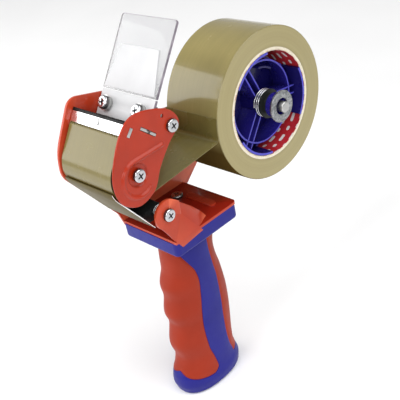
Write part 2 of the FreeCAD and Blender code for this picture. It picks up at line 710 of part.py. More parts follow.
def thick_strand(edge):
    """Sheet along one XZ edge, as thick as the tape and as wide as the roll."""
    half = TAPE_THICK / 2
    if isinstance(edge.Curve, Part.Circle):
        centre = edge.Curve.Center
        radius = edge.Curve.Radius
        axis = (centre.x, centre.z)
        ring = tube(axis, radius + half, radius - half, -TAPE_WIDTH / 2, TAPE_WIDTH / 2)
        first, last = edge.Vertexes[0].Point, edge.Vertexes[-1].Point
        middle = edge.valueAt((edge.FirstParameter + edge.LastParameter) / 2)
        wedge = [axis]
        for target in (first, middle, last):
            direction = math.degrees(math.atan2(target.z - axis[1], target.x - axis[0]))
            wedge.append(along(axis, direction, radius * 4))
        return ring.common(polygon_slab(wedge, -TAPE_WIDTH / 2, TAPE_WIDTH / 2))
    first, last = edge.Vertexes[0].Point, edge.Vertexes[-1].Point
    angle = math.degrees(math.atan2(last.z - first.z, last.x - first.x))
    length = first.distanceToPoint(last)
    start = along((first.x, first.z), angle - 90, half)
    return tilted_bar(start, angle, length, TAPE_THICK, -TAPE_WIDTH / 2, TAPE_WIDTH / 2)


# ---------------------------------------------------------------- handle

def section_wire(z, front, rear, half):
    """Rounded-rectangle section of the handle at one height."""
    centre, reach = (front + rear) / 2, (front - rear) / 2
    points = []
    for i in range(SECTION_POINTS):
        turn = 2 * math.pi * (i + 0.5) / SECTION_POINTS
        cx, cy = math.cos(turn), math.sin(turn)
        x = centre + reach * math.copysign(abs(cx) ** (2 / SECTION_POWER), cx)
        y = half * math.copysign(abs(cy) ** (2 / SECTION_POWER), cy)
        points.append(vec(x, y, z))
    curve = Part.BSplineCurve()
    curve.interpolate(points, PeriodicFlag=True)
    return Part.Wire([curve.toShape()])


def handle_body():
    return Part.makeLoft([section_wire(*section) for section in HANDLE_SECTIONS], True, False)


FRONT_SEAM = ((99.5, -60.0), (99.0, -74.0), (95.5, -83.0), (91.5, -92.0), (90.3, -101.0), (91.5, -114.0),
              (94.0, -130.0), (95.2, -147.0), (94.5, -162.0), (92.0, -173.0), (90.2, -182.0),
              (93.5, -187.6), (102.0, -187.0), (111.0, -183.6), (122.0, -177.5))
REAR_SEAM = ((79.0, -60.0), (77.5, -78.0), (75.5, -95.0), (74.0, -108.0), (74.4, -126.0), (75.8, -145.0),
             (76.0, -160.0), (75.0, -172.0), (72.5, -180.5), (66.0, -184.5), (52.0, -185.5))


def grip_region(seam, closing):
    curve = Part.BSplineCurve()
    points = [vec(x, -40, z) for x, z in seam]
    curve.interpolate(points)
    edges = [curve.toShape()]
    corners = [points[-1]] + [vec(x, -40, z) for x, z in closing] + [points[0]]
    for start, end in zip(corners, corners[1:]):
        edges.append(Part.LineSegment(start, end).toShape())
    return Part.Face(Part.Wire(edges)).extrude(vec(0, 80, 0))


def collar():
    block = box((SADDLE_REAR, SADDLE_FRONT + 0.5), (FAR_OUTER + 0.2, NEAR_OUTER - 0.2),
                (COLLAR_BOTTOM, FLOOR_BOTTOM))
    upright = [edge for edge in block.Edges if abs(edge.tangentAt(edge.FirstParameter).z) > 0.9]
    block = block.makeFillet(4.0, upright)
    rim = [edge for edge in block.Edges if abs(edge.CenterOfMass.z - COLLAR_BOTTOM) < 0.01]
    return block.makeFillet(3.0, rim)


def handle_parts(frame_shape):
    body = handle_body()
    bar = box((CORE_BAR[0], CORE_BAR[1]), (-CORE_BAR[2], CORE_BAR[2]), (-186.0, -60.0))
    below = box((0, 200), (-60, 60), (-260, COLLAR_BOTTOM))
    front_region = grip_region(FRONT_SEAM, ((140.0, -177.5), (140.0, -60.0)))
    rear_region = grip_region(REAR_SEAM, ((40.0, -185.5), (40.0, -60.0)))
    front = body.common(front_region).cut(bar).common(below)
    rear = body.common(rear_region).cut(bar).common(below)
    core = body.cut(front_region).cut(rear_region)
    core = core.fuse(bar.common(body)).common(below)
    whole_collar = collar().cut(frame_shape)
    core = core.fuse(whole_collar)
    for x, y in SADDLE_SCREWS:
        core = core.cut(Part.makeCylinder(SCREW_SHANK_R, 14, vec(x, y, FLOOR_BOTTOM - 12)))
    return core, front, rear


def saddle_screws():
    screws = []
    for x, y in SADDLE_SCREWS:
        screw = pan_head((0, 0), 0, 1)
        screw.rotate(vec(0, 0, 0), vec(1, 0, 0), 90)
        screw.translate(vec(x, y, FLOOR_TOP))
        screws.append(screw)
    return screws


# ---------------------------------------------------------------- build

def main():
    os.makedirs("parts", exist_ok=True)
    frame_shape = base_frame()
    core, front, rear = handle_parts(frame_shape)
    screws, washers, sleeves = wiper_fasteners()
    roll = (0.0, 0.0)
    half_tape = TAPE_WIDTH / 2
    nodes = {
        "base_frame": frame_shape,
        "head_plate_near": head_plate_near(),
        "handle_core": core,
        "grip_front": front,
        "grip_rear": rear,
        "saddle_screws": Part.makeCompound(saddle_screws()),
        "cutter_blade": cutter_blade(),
        "blade_carrier": blade_carrier(),
        "blade_rivet": blade_rivet(),
        "wiper_bracket": wiper_bracket(),
        "wiper_foot": wiper_foot(),
        "wiper_leaf": wiper_leaf(),
        "wiper_stiffener": wiper_stiffener(),
        "wiper_screws": Part.makeCompound(screws),
        "wiper_washers": Part.makeCompound(washers),
        "wiper_sleeves": Part.makeCompound(sleeves),
        "head_spacer": axle(BOLT_AXIS, 5.0, NEAR_INNER),
        "head_screws": Part.makeCompound(end_screws(BOLT_AXIS, NEAR_OUTER)),
        "roller_axle": axle(ROLLER_AXIS, AXLE_R, NEAR_INNER),
        "roller_screws": Part.makeCompound(end_screws(ROLLER_AXIS, NEAR_OUTER)),
        "roller_core": roller_core(),
        "roller_bushes": Part.makeCompound(roller_bushes()),
        "roller_sleeve": tube(ROLLER_AXIS, ROLLER_R, ROLLER_CORE_R, -ROLLER_HALF, ROLLER_HALF),
        "lower_shaft": axle(SHAFT_AXIS, SHAFT_R, EAR_INNER),
        "shaft_screws": Part.makeCompound(end_screws(SHAFT_AXIS, NEAR_OUTER)),
        "guide_flap": guide_flap(),
        "flap_carrier": flap_carrier(),
        "flap_spring": coil(SHAFT_AXIS, 4.3, 0.5, CARRIER_HALF + 0.8, 5, 1.15),
        "spindle_stud": spindle_stud(),
        "hub_shell": hub_shell(),
        "hub_web": hub_web(),
        "hub_ring": hub_ring(),
        "hub_ribs": hub_ribs(),
        "brake_spring": coil(roll, 9.8, 0.6, HUB_RIB_FRONT + 0.75, 2.5, 1.84),
        "brake_seat": brake_seat(),
        "brake_knob": brake_knob(),
        "brake_washer": tube(roll, WASHER_R, WASHER_BORE_R, WASHER_BACK, WASHER_BACK + WASHER_THICK),
        "core_label": tube(roll, CORE_BORE_R, CORE_BORE_R - LABEL_THICK, -half_tape, half_tape),
        "tape_core": tube(roll, CORE_OUTER_R, CORE_BORE_R, -half_tape, half_tape),
        "tape_roll": tube(roll, ROLL_R, CORE_OUTER_R, -half_tape, half_tape),
        "tape_web": tape_web(),
    }
    for name, shape in nodes.items():
        print(name, "valid", shape.isValid(), "solids", len(shape.Solids), "volume", round(shape.Volume, 1))
        finish_node(name, shape)


main()
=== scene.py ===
import json
import math
from contextlib import contextmanager

import bmesh
import bpy
import numpy as np
from mathutils import Matrix, Vector


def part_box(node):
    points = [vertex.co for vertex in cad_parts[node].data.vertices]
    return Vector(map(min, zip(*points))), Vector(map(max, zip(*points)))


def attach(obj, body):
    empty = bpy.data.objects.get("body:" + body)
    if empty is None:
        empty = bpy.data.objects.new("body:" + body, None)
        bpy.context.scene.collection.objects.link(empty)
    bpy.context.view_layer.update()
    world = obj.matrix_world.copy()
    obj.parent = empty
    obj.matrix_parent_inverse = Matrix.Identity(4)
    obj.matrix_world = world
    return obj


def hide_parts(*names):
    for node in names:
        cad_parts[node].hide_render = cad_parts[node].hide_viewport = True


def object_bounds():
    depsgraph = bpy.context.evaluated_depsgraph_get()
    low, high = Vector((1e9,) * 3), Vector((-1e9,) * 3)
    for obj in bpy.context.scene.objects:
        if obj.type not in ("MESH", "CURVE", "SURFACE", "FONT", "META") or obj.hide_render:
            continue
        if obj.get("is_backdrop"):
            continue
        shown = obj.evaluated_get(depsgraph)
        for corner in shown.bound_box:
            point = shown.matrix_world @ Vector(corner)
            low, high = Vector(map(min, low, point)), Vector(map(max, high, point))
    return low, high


# Lengths in the shape data are millimetres from the spindle axis (X forward, Y to the open
# side, Z up); at() turns them into the frame's metres.
MM = 0.001
SEED = 11

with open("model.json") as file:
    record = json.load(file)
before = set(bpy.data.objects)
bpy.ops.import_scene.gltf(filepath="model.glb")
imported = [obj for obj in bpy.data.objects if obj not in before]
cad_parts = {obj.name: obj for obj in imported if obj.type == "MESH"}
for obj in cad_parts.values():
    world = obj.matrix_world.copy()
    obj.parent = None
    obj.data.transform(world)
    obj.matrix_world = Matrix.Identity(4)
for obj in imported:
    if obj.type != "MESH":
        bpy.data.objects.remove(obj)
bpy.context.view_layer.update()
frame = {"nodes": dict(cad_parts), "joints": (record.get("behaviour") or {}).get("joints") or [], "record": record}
JOINTS = {joint["name"]: joint for joint in frame["joints"]}
SPINDLE = Vector(JOINTS["roll_spin"]["pos_m"])


def at(x, y, z):
    """Frame point in metres for a place in millimetres from the spindle."""
    return SPINDLE + Vector((x, y, z)) * MM


def axis_of(joint):
    """(X, Z) of a joint's axis in millimetres from the spindle."""
    offset = (Vector(JOINTS[joint]["pos_m"]) - SPINDLE) / MM
    return offset.x, offset.z


def span(node):
    """Lowest and highest corner of a CAD node in millimetres from the spindle."""
    low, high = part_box(node)
    return (low - SPINDLE) / MM, (high - SPINDLE) / MM


ROLLER = axis_of("app_roller_spin")
ROLL_CORNER = span("tape_roll")[1]
ROLL_R = ROLL_CORNER.x
CORE_R = span("tape_core")[1].x
BORE_R = span("core_label")[1].x
TAPE_HALF = ROLL_CORNER.y
PLATE_INNER = span("head_plate_near")[0].y
SADDLE_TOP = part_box("saddle_screws")[1].z + 2 * MM


# ---- materials

# Noise scales are per metre, and bump distances are in metres.
NOISE_LOW, NOISE_HIGH = 0.3, 0.7
POINTED_FROM, POINTED_TO = 0.52, 0.60
DOWN_FROM, DOWN_TO = -0.05, -0.28
# Lighter red for painted highlights on the edges of painted parts.
EDGE_HIGHLIGHT_RED = (0.80, 0.16, 0.07)
PRINT_WHITE = (0.78, 0.73, 0.72)
PAINT_RED = (0.385, 0.026, 0.006)
PAINT_COAT = 0.55

class Nodes:
    """Short names for building one material's node tree."""

    def __init__(self, name):
        self.material = bpy.data.materials.new(name)
        self.material.use_nodes = True
        self.tree = self.material.node_tree
        self.tree.nodes.clear()
        self.output = self.tree.nodes.new("ShaderNodeOutputMaterial")
        self.shader = self.tree.nodes.new("ShaderNodeBsdfPrincipled")
        self.link(self.shader.outputs[0], self.output.inputs["Surface"])
        self.place = self.tree.nodes.new("ShaderNodeTexCoord").outputs["Object"]

    def link(self, source, target):
        self.tree.links.new(source, target)

    def feed(self, socket, value):
        """Set a socket to a number or a colour, or link another socket to it."""
        if isinstance(value, (int, float)):
            socket.default_value = value
        elif isinstance(value, tuple):
            socket.default_value = (*value, 1)
        elif value is not None:
            self.link(value, socket)

    def set(self, **values):
        for key, value in values.items():
            self.shader.inputs[key.replace("_", " ")].default_value = value

    def scaled(self, scale, location=(0, 0, 0)):
        mapping = self.tree.nodes.new("ShaderNodeMapping")
        mapping.inputs["Scale"].default_value = scale
        mapping.inputs["Location"].default_value = location
        self.link(self.place, mapping.inputs["Vector"])
        return mapping.outputs[0]

    def noise(self, scale, detail=3.0, roughness=0.55, vector=None):
        node = self.tree.nodes.new("ShaderNodeTexNoise")
        node.inputs["Scale"].default_value = scale
        node.inputs["Detail"].default_value = detail
        node.inputs["Roughness"].default_value = roughness
        self.link(vector or self.place, node.inputs["Vector"])
        return node.outputs["Fac"]

    def cells(self, scale, output="Distance"):
        node = self.tree.nodes.new("ShaderNodeTexVoronoi")
        node.inputs["Scale"].default_value = scale
        self.link(self.place, node.inputs["Vector"])
        return node.outputs[output]

    def math(self, operation, first, second=None):
        node = self.tree.nodes.new("ShaderNodeMath")
        node.operation = operation
        self.feed(node.inputs[0], first)
        self.feed(node.inputs[1], second)
        return node.outputs[0]

    def remap(self, value, low, high, to_low, to_high):
        node = self.tree.nodes.new("ShaderNodeMapRange")
        for socket, number in zip(list(node.inputs)[1:5], (low, high, to_low, to_high)):
            socket.default_value = number
        self.link(value, node.inputs[0])
        return node.outputs[0]

    def ramp(self, value, stops):
        node = self.tree.nodes.new("ShaderNodeValToRGB")
        elements = node.color_ramp.elements
        for element, (position, colour) in zip(elements, (stops[0], stops[-1])):
            element.position = position
            element.color = (*colour, 1)
        for position, colour in stops[1:-1]:
            elements.new(position).color = (*colour, 1)
        self.link(value, node.inputs[0])
        return node.outputs[0]

    def tones(self, value, dark, light):
        """Ramp between two colours over the middle of a noise."""
        return self.ramp(value, ((NOISE_LOW, dark), (NOISE_HIGH, light)))

    def mix(self, factor, first, second):
        node = self.tree.nodes.new("ShaderNodeMix")
        node.data_type = "RGBA"
        self.link(factor, node.inputs[0])
        self.feed(node.inputs[6], first)
        self.feed(node.inputs[7], second)
        return node.outputs[2]

    def colour(self, source):
        self.link(source, self.shader.inputs["Base Color"])

    def rough(self, source, low, high):
        self.link(self.remap(source, NOISE_LOW, NOISE_HIGH, low, high), self.shader.inputs["Roughness"])

    def bump(self, height, strength, distance):
        node = self.tree.nodes.new("ShaderNodeBump")
        node.inputs["Strength"].default_value = strength
        node.inputs["Distance"].default_value = distance
        self.link(height, node.inputs["Height"])
        self.link(node.outputs[0], self.shader.inputs["Normal"])

    def edges(self):
        """1 on convex edges, 0 elsewhere, from the mesh's own pointiness."""
        geometry = self.tree.nodes.new("ShaderNodeNewGeometry")
        return self.remap(geometry.outputs["Pointiness"], POINTED_FROM, POINTED_TO, 0.0, 1.0)

    def from_spindle(self):
        """Sockets of x, y and z measured from the spindle axis."""
        node = self.tree.nodes.new("ShaderNodeSeparateXYZ")
        self.link(self.scaled((1, 1, 1), tuple(-SPINDLE)), node.inputs[0])
        return list(node.outputs)

    def facing_down(self):
        """1 where the surface looks down and sees only its own shade, 0 on the sides and top."""
        geometry = self.tree.nodes.new("ShaderNodeNewGeometry")
        parts = self.tree.nodes.new("ShaderNodeSeparateXYZ")
        self.link(geometry.outputs["Normal"], parts.inputs[0])
        return self.remap(parts.outputs[2], DOWN_FROM, DOWN_TO, 0.0, 1.0)

    def radius(self):
        """Distance from the spindle axis."""
        x, _y, z = self.from_spindle()
        return self.math("SQRT", self.math("ADD", self.math("MULTIPLY", x, x), self.math("MULTIPLY", z, z)))


def shades(colour, spread):
    """Darker and lighter versions of a colour for a ramp."""
    return (tuple(c * (1 - spread) for c in colour), tuple(min(1.0, c * (1 + spread)) for c in colour))


def red_paint(name, colour, coat, rim=0.7):
    """Glossy paint, with a painted highlight of lighter red on the edges by the share rim."""
    m = Nodes(name)
    base = m.tones(m.noise(60, 4), *shades(colour, 0.10))
    m.colour(m.mix(m.math("MULTIPLY", m.edges(), rim), base, EDGE_HIGHLIGHT_RED))
    m.set(Coat_Weight=coat, Coat_Roughness=0.11, Specular_IOR_Level=0.08)
    m.rough(m.noise(120, 3), 0.34, 0.46)
    m.bump(m.noise(700, 2, 0.4), 0.10, 0.0004)
    return m.material


def moulded(name, colour, roughness, grain=2600.0, strength=0.22, spread=0.08, coat=0.0):
    """Injection-moulded plastic: faint colour drift, a fine spark-eroded grain, and a painted highlight of lighter
    colour on its edges.
    """
    m = Nodes(name)
    base = m.tones(m.noise(35, 4), *shades(colour, spread))
    edge_highlight = tuple(min(1.0, c * 1.35 + 0.01) for c in colour)
    m.colour(m.mix(m.math("MULTIPLY", m.edges(), 0.4), base, edge_highlight))
    m.set(Coat_Weight=coat, Coat_Roughness=0.2, Specular_IOR_Level=0.2)
    m.rough(m.noise(220, 3), roughness - 0.05, roughness + 0.06)
    m.bump(m.noise(grain, 2, 0.5), strength, 0.00012)
    return m.material


def plain(name, tone, dark, light, gloss, roughness, relief=None, **settings):
    """Two drifting tones, a noise for the roughness, and relief from noise, or from cells if detail is 0."""
    m = Nodes(name)
    m.colour(m.tones(m.noise(*tone), dark, light))
    m.set(**settings)
    m.rough(m.noise(*gloss), *roughness)
    if relief:
        (scale, detail), strength, distance = relief
        m.bump(m.noise(scale, detail) if detail else m.cells(scale), strength, distance)
    return m.material


def film(name, colour, spread, roughness, coat, wound=True):
    """Tape film: streaks along it, and on wound or drawn tape a painted shade and a fading coat where it faces
    down.
    """
    m = Nodes(name)
    dark, light = shades(colour, spread)
    streaks = m.noise(1.0, 4, 0.6, m.scaled((6, 900, 6)))
    blotches = m.noise(45, 3)
    both = m.math("ADD", m.math("MULTIPLY", streaks, 0.5), m.math("MULTIPLY", blotches, 0.5))
    base = m.ramp(both, ((0.35, dark), (0.65, light)))
    if wound:
        under = m.facing_down()
        shaded = tuple(part * share for part, share in zip(colour, (0.34, 0.26, 0.18)))
        m.colour(m.mix(under, base, shaded))
        m.link(m.remap(under, 0.0, 1.0, coat, 0.0), m.shader.inputs["Coat Weight"])
        m.link(m.remap(under, 0.0, 1.0, 0.3, 0.0), m.shader.inputs["Specular IOR Level"])
        m.set(Coat_Roughness=0.08)
    else:
        m.colour(base)
        m.set(Coat_Weight=coat, Coat_Roughness=0.2, Specular_IOR_Level=0.06)
    m.rough(blotches, roughness - 0.05, roughness + 0.06)
    m.bump(m.noise(1.0, 3, 0.5, m.scaled((25, 500, 25))), 0.12, 0.0003)
    return m.material


def wound_edge():
    """End face of the roll: hundreds of film edges seen side on."""
    m = Nodes("roll_face")
    radius = m.radius()
    wavy = m.math("ADD", radius, m.math("MULTIPLY", m.noise(18, 2), 0.0006))
    band = m.noise(1.0, 5, 0.7, combined(m, m.math("MULTIPLY", wavy, 2600.0)))
    broad = m.noise(1.0, 2, 0.5, combined(m, m.math("MULTIPLY", wavy, 260.0)))
    tone = m.math("ADD", m.math("MULTIPLY", band, 0.6), m.math("MULTIPLY", broad, 0.4))
    m.colour(m.ramp(tone, ((0.30, (0.25, 0.208, 0.078)), (0.5, (0.335, 0.28, 0.118)),
                           (0.72, (0.41, 0.35, 0.162)))))
    m.set(Anisotropic=0.7, Specular_IOR_Level=0.9)
    tangent = m.tree.nodes.new("ShaderNodeTangent")
    tangent.direction_type = "RADIAL"
    tangent.axis = "Y"
    m.link(tangent.outputs[0], m.shader.inputs["Tangent"])
    m.rough(band, 0.38, 0.52)
    m.bump(band, 0.22, 0.0002)
    return m.material


def combined(m, x):
    """Vector that varies with one value only."""
    node = m.tree.nodes.new("ShaderNodeCombineXYZ")
    m.link(x, node.inputs[0])
    return node.outputs[0]


def metal(name, colour, roughness, brushed=(1, 1, 1), grain=400.0, strength=0.06):
    """Bare or plated metal with fine marks; brushed stretches them along one axis."""
    m = Nodes(name)
    marks = m.noise(1.0, 4, 0.6, m.scaled(tuple(grain * b for b in brushed)))
    m.colour(m.tones(m.noise(90, 3), *shades(colour, 0.12)))
    m.set(Metallic=1.0)
    m.rough(marks, roughness * 0.75, roughness * 1.35)
    m.bump(marks, strength, 0.0001)
    return m.material


def galvanised():
    m = Nodes("galvanised")
    spangle = m.cells(900, output="Color")
    separate = m.tree.nodes.new("ShaderNodeSeparateColor")
    m.link(spangle, separate.inputs[0])
    tone = separate.outputs[0]
    m.colour(m.ramp(tone, ((0.0, (0.16, 0.17, 0.18)), (1.0, (0.46, 0.47, 0.48)))))
    m.set(Metallic=1.0)
    m.rough(tone, 0.32, 0.5)
    m.bump(m.noise(1800, 3), 0.25, 0.00015)
    return m.material


def clear_edge():
    """Sawn edge of the clear sheet, where light piped along it comes out violet-grey."""
    m = Nodes("clear_edge")
    m.colour(m.tones(m.noise(120, 3), (0.20, 0.17, 0.21), (0.36, 0.31, 0.37)))
    m.set(Transmission_Weight=0.25, IOR=1.45)
    m.rough(m.noise(260, 3), 0.25, 0.4)
    m.bump(m.noise(1.0, 3, 0.5, m.scaled((400, 90, 400))), 0.15, 0.0002)
    return m.material


def paper_core():
    m = Nodes("paper_core")
    fibres = m.noise(1.0, 5, 0.65, m.scaled((500, 500, 500)))
    m.colour(m.tones(fibres, (0.70, 0.62, 0.47), (0.88, 0.81, 0.66)))
    m.rough(fibres, 0.75, 0.9)
    m.bump(fibres, 0.4, 0.0002)
    return m.material


LABEL_ROWS = 7
LABEL_DASHES = 26
ROW_STAGGER = 0.37
DASH_HALF = 0.08
DASH_EXTRA = 0.16
DASH_ROUND = 0.17
KEEP_POSITIVE = 40.0


def core_print():
    """Printed liner: plain rows of short rounded bars of two lengths on red."""
    m = Nodes("core_print")
    x, y, z = m.from_spindle()
    angle = m.math("MULTIPLY", m.math("ARCTAN2", z, x), LABEL_DASHES / (2 * math.pi))
    row = m.math("ADD", m.math("MULTIPLY", y, LABEL_ROWS / (2 * TAPE_HALF * MM)), KEEP_POSITIVE)
    stagger = m.math("MULTIPLY", m.math("FLOOR", row), ROW_STAGGER)
    place = m.math("ADD", m.math("ADD", angle, KEEP_POSITIVE), stagger)
    every_other = m.math("GREATER_THAN", m.math("FRACT", m.math("MULTIPLY", place, 0.5)), 0.5)
    longer = m.math("MULTIPLY", every_other, DASH_EXTRA)
    u = m.math("SUBTRACT", m.math("FRACT", place), 0.5)
    v = m.math("SUBTRACT", m.math("FRACT", row), 0.5)
    reach = m.math("ADD", longer, DASH_HALF)
    length = m.math("MAXIMUM", m.math("SUBTRACT", m.math("ABSOLUTE", u), reach), 0.0)
    distance = m.math("SQRT", m.math("ADD", m.math("MULTIPLY", m.math("MULTIPLY", length, length), 1.7),
                                     m.math("MULTIPLY", v, v)))
    inside = m.math("LESS_THAN", distance, DASH_ROUND)
    red = m.tones(m.noise(90, 4), (0.44, 0.012, 0.02), (0.54, 0.028, 0.035))
    m.colour(m.mix(inside, red, PRINT_WHITE))
    m.rough(m.noise(300, 3), 0.38, 0.5)
    m.bump(m.noise(900, 3), 0.12, 0.0001)
    return m.material


HUB_FINISH = {"grain": 1800.0, "strength": 0.1}
MATERIALS = {
    "red_paint": red_paint("red_paint", PAINT_RED, PAINT_COAT),
    "blue_plastic": moulded("blue_plastic", (0.014, 0.014, 0.20), 0.40),
    "red_grip": plain("red_grip", (28, 5), *shades((0.305, 0.028, 0.0095), 0.10), (160, 3), (0.50, 0.62),
                      ((1500, 0), 0.18, 0.00018),
                      Sheen_Weight=0.08, Sheen_Roughness=0.4, Specular_IOR_Level=0.15),
    "zinc": metal("zinc", (0.50, 0.50, 0.49), 0.30),
    "chrome_screw": metal("chrome_screw", (0.56, 0.57, 0.59), 0.16, grain=900),
    "blade_steel": metal("blade_steel", (0.86, 0.87, 0.88), 0.2, brushed=(0.2, 3.0, 0.2)),
    "clear_plastic": plain("clear_plastic", (30, 2), (0.71, 0.71, 0.72), (0.75, 0.75, 0.76), (70, 4),
                           (0.05, 0.12), ((26, 2), 0.08, 0.0006),
                           Transmission_Weight=0.80, IOR=1.3, Specular_IOR_Level=0.2),
    "frosted_plastic": plain("frosted_plastic", (40, 3), (0.60, 0.60, 0.61), (0.66, 0.66, 0.67), (200, 3),
                             (0.38, 0.52), ((900, 2), 0.10, 0.0002),
                             Transmission_Weight=0.06, IOR=1.45, Specular_IOR_Level=0.3),
    "black_rubber": plain("black_rubber", (150, 4), *shades((0.018, 0.018, 0.019), 0.35), (400, 3),
                          (0.42, 0.62), ((1500, 3), 0.25, 0.0002)),
    "black_plastic": moulded("black_plastic", (0.012, 0.014, 0.014), 0.38),
    "white_plastic": moulded("white_plastic", (0.70, 0.70, 0.68), 0.4),
    # Painted reflection: tan steel, standing for the tape reflected in the polished guide flap.
    "guide_steel": metal("guide_steel", (0.27, 0.23, 0.10), 0.30, brushed=(0.3, 2.5, 0.3)),
    "hub_blue": moulded("hub_blue", (0.017, 0.013, 0.19), 0.24, coat=0.5, **HUB_FINISH),
    "spring_steel": metal("spring_steel", (0.62, 0.63, 0.65), 0.22),
    "cardboard_core": paper_core(),
    "core_print": core_print(),
    "tan_tape": film("tan_tape", (0.26, 0.215, 0.080), 0.08, 0.22, 0.55),
}
GALVANISED = galvanised()
CLEAR_EDGE = clear_edge()
# Painted shade: a dark steel for the wiper bracket between the plates and for the rims of screw heads.
SHADE_STEEL = metal("painted_shade_steel", (0.16, 0.15, 0.15), 0.35)
# Painted shade: near black for screw recesses and for the cutter's teeth.
RECESS_SHADE = metal("painted_recess_shade", (0.03, 0.03, 0.03), 0.5)
# Painted shade: a darker blue for the hub's web and shell, which lie in shade inside the hub.
SHADED_HUB_BLUE = moulded("painted_shade_blue", (0.008, 0.006, 0.095), 0.30, coat=0.3, **HUB_FINISH)
ROLL_FACE = wound_edge()
PLATE_RED = red_paint("plate_red", PAINT_RED, PAINT_COAT, rim=0.0)
# Painted shade: a darker red for the saddle floor, which lies in shade under the tape.
SHADED_FLOOR_RED = red_paint("painted_shade_floor_red", (0.25, 0.012, 0.005), 0.8)
STRAND = film("drawn_tape", (0.165, 0.134, 0.040), 0.08, 0.24, 0.34)
# Painted reflection: the steel guide flap gets matte tape film, standing for the tan tape that its polished face
# reflects.
FLAP_TAPE_REFLECTION = film("flap_painted_tape_reflection", (0.110, 0.088, 0.034), 0.08, 0.44, 0.0, wound=False)
# Painted highlight: a lighter blue for the hub's faces that look towards the open side and the light.
LIT_HUB_BLUE = moulded("painted_lit_blue", (0.075, 0.070, 0.50), 0.28, coat=0.3, **HUB_FINISH)
STUDIO_FLOOR = plain("studio_floor", (3, 2), (0.90, 0.90, 0.90), (0.93, 0.93, 0.93), (12, 2),
                     (0.7, 0.8))
SLOT_OF = {entry["node"]: entry["material_slot"] for entry in frame["record"]["subparts"]}
BODY_OF = {node: body for body, nodes in frame["record"]["behaviour"]["bodies"].items() for node in nodes}


def assign(obj, material):
    obj.data.materials.clear()
    obj.data.materials.append(material)


for name, obj in frame["nodes"].items():
    assign(obj, MATERIALS[SLOT_OF[name]])
assign(frame["nodes"]["brake_washer"], GALVANISED)


# ---- mesh helpers

@contextmanager
def editing(obj):
    """Open an object's mesh for editing, and write it back."""
    work = bmesh.new()
    work.from_mesh(obj.data)
    yield work
    work.to_mesh(obj.data)
    work.free()


def add_object(name, data):
    obj = bpy.data.objects.new(name, data)
    bpy.context.scene.collection.objects.link(obj)
    return obj


def new_piece(name, verts, faces, node, material=None, smooth=True):
    """Mesh piece that stands for a CAD node, rides with its body and takes its material slot."""
    mesh = bpy.data.meshes.new(name)
    mesh.from_pydata([tuple(v) for v in verts], [], faces)
    mesh.validate()
    obj = add_object(name, mesh)
    obj.data.materials.append(material or MATERIALS[SLOT_OF[node]])
    tidy_normals(obj)
    if smooth:
        shade_by_angle(obj, 35)
    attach(obj, BODY_OF[node])
    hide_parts(node)
    return obj


def tidy_normals(obj):
    with editing(obj) as work:
        bmesh.ops.remove_doubles(work, verts=work.verts, dist=1e-6)
        bmesh.ops.recalc_face_normals(work, faces=work.faces)


def shade_by_angle(obj, degrees):
    """Smooth shading with sharp edges kept where faces meet at more than an angle."""
    limit = math.radians(degrees)
    with editing(obj) as work:
        for face in work.faces:
            face.smooth = True
        for edge in work.edges:
            edge.smooth = not (len(edge.link_faces) == 2 and edge.calc_face_angle() > limit)


def second_material(obj, material, chosen):
    """Give a piece's chosen faces a second material."""
    obj.data.materials.append(material)
    for face in obj.data.polygons:
        if chosen(face):
            face.material_index = 1


def apply_modifiers(obj):
    graph = bpy.context.evaluated_depsgraph_get()
    graph.update()
    mesh = bpy.data.meshes.new_from_object(obj.evaluated_get(graph))
    obj.modifiers.clear()
    obj.data = mesh


BEVEL_SEGMENTS = 2
BEVEL_FROM = 28


def softened(node, width):
    """Copy of a CAD node with small rounded edges, which stands for it."""
    source = frame["nodes"][node]
    obj = add_object(node + "_soft", source.data.copy())
    with editing(obj) as work:
        bmesh.ops.remove_doubles(work, verts=work.verts, dist=2e-6)
        bmesh.ops.dissolve_limit(work, angle_limit=math.radians(0.6), verts=work.verts, edges=work.edges)
    bevel = obj.modifiers.new("rounded_edges", "BEVEL")
    bevel.width = width * MM
    bevel.segments = BEVEL_SEGMENTS
    bevel.limit_method = "ANGLE"
    bevel.angle_limit = math.radians(BEVEL_FROM)
    apply_modifiers(obj)
    with editing(obj) as work:
        bmesh.ops.triangulate(work, faces=[f for f in work.faces if len(f.verts) > 4])
    assign(obj, MATERIALS[SLOT_OF[node]])
    shade_by_angle(obj, 40)
    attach(obj, BODY_OF[node])
    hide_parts(node)
    return obj


def lathe(name, profile, node, material=None, segments=160):
    """Turn a closed (radius, y) profile about the spindle axis."""
    verts, faces = [], []
    count = len(profile)
    for step in range(segments):
        turn = 2 * math.pi * step / segments
        for radius, y in profile:
            verts.append(at(radius * math.cos(turn), y, radius * math.sin(turn)))
    for step in range(segments):
        following = (step + 1) % segments
        for i in range(count):
            j = (i + 1) % count
            faces.append((step * count + i, step * count + j, following * count + j, following * count + i))
    return new_piece(name, verts, faces, node, material)


def grid_faces(rows, columns, wrap=False):
    faces = []
    for r in range(rows - 1):
        for c in range(columns if wrap else columns - 1):
            d = (c + 1) % columns
            faces.append((r * columns + c, r * columns + d, (r + 1) * columns + d, (r + 1) * columns + c))
    return faces


def capped_tube(rows, columns):
    """Faces of a tube of rings, closed by one face at each end."""
    faces = grid_faces(rows, columns, wrap=True)
    faces.append(tuple(range(columns)))
    faces.append(tuple((rows - 1) * columns + c for c in reversed(range(columns))))
    return faces


def closed_spline(points, count):
    """Points spread along a closed Catmull-Rom curve through the given points."""
    points = [np.array(p, float) for p in points]
    total = len(points)
    out = []
    for i in range(count):
        where = i * total / count
        k = min(int(where), total - 1)
        t = where - k
        a, b, c, d = (points[n % total] for n in (k - 1, k, k + 1, k + 2))
        out.append(0.5 * (2 * b + (c - a) * t + (2 * a - 5 * b + 4 * c - d) * t * t
                          + (3 * b - a - 3 * c + d) * t ** 3))
    return out


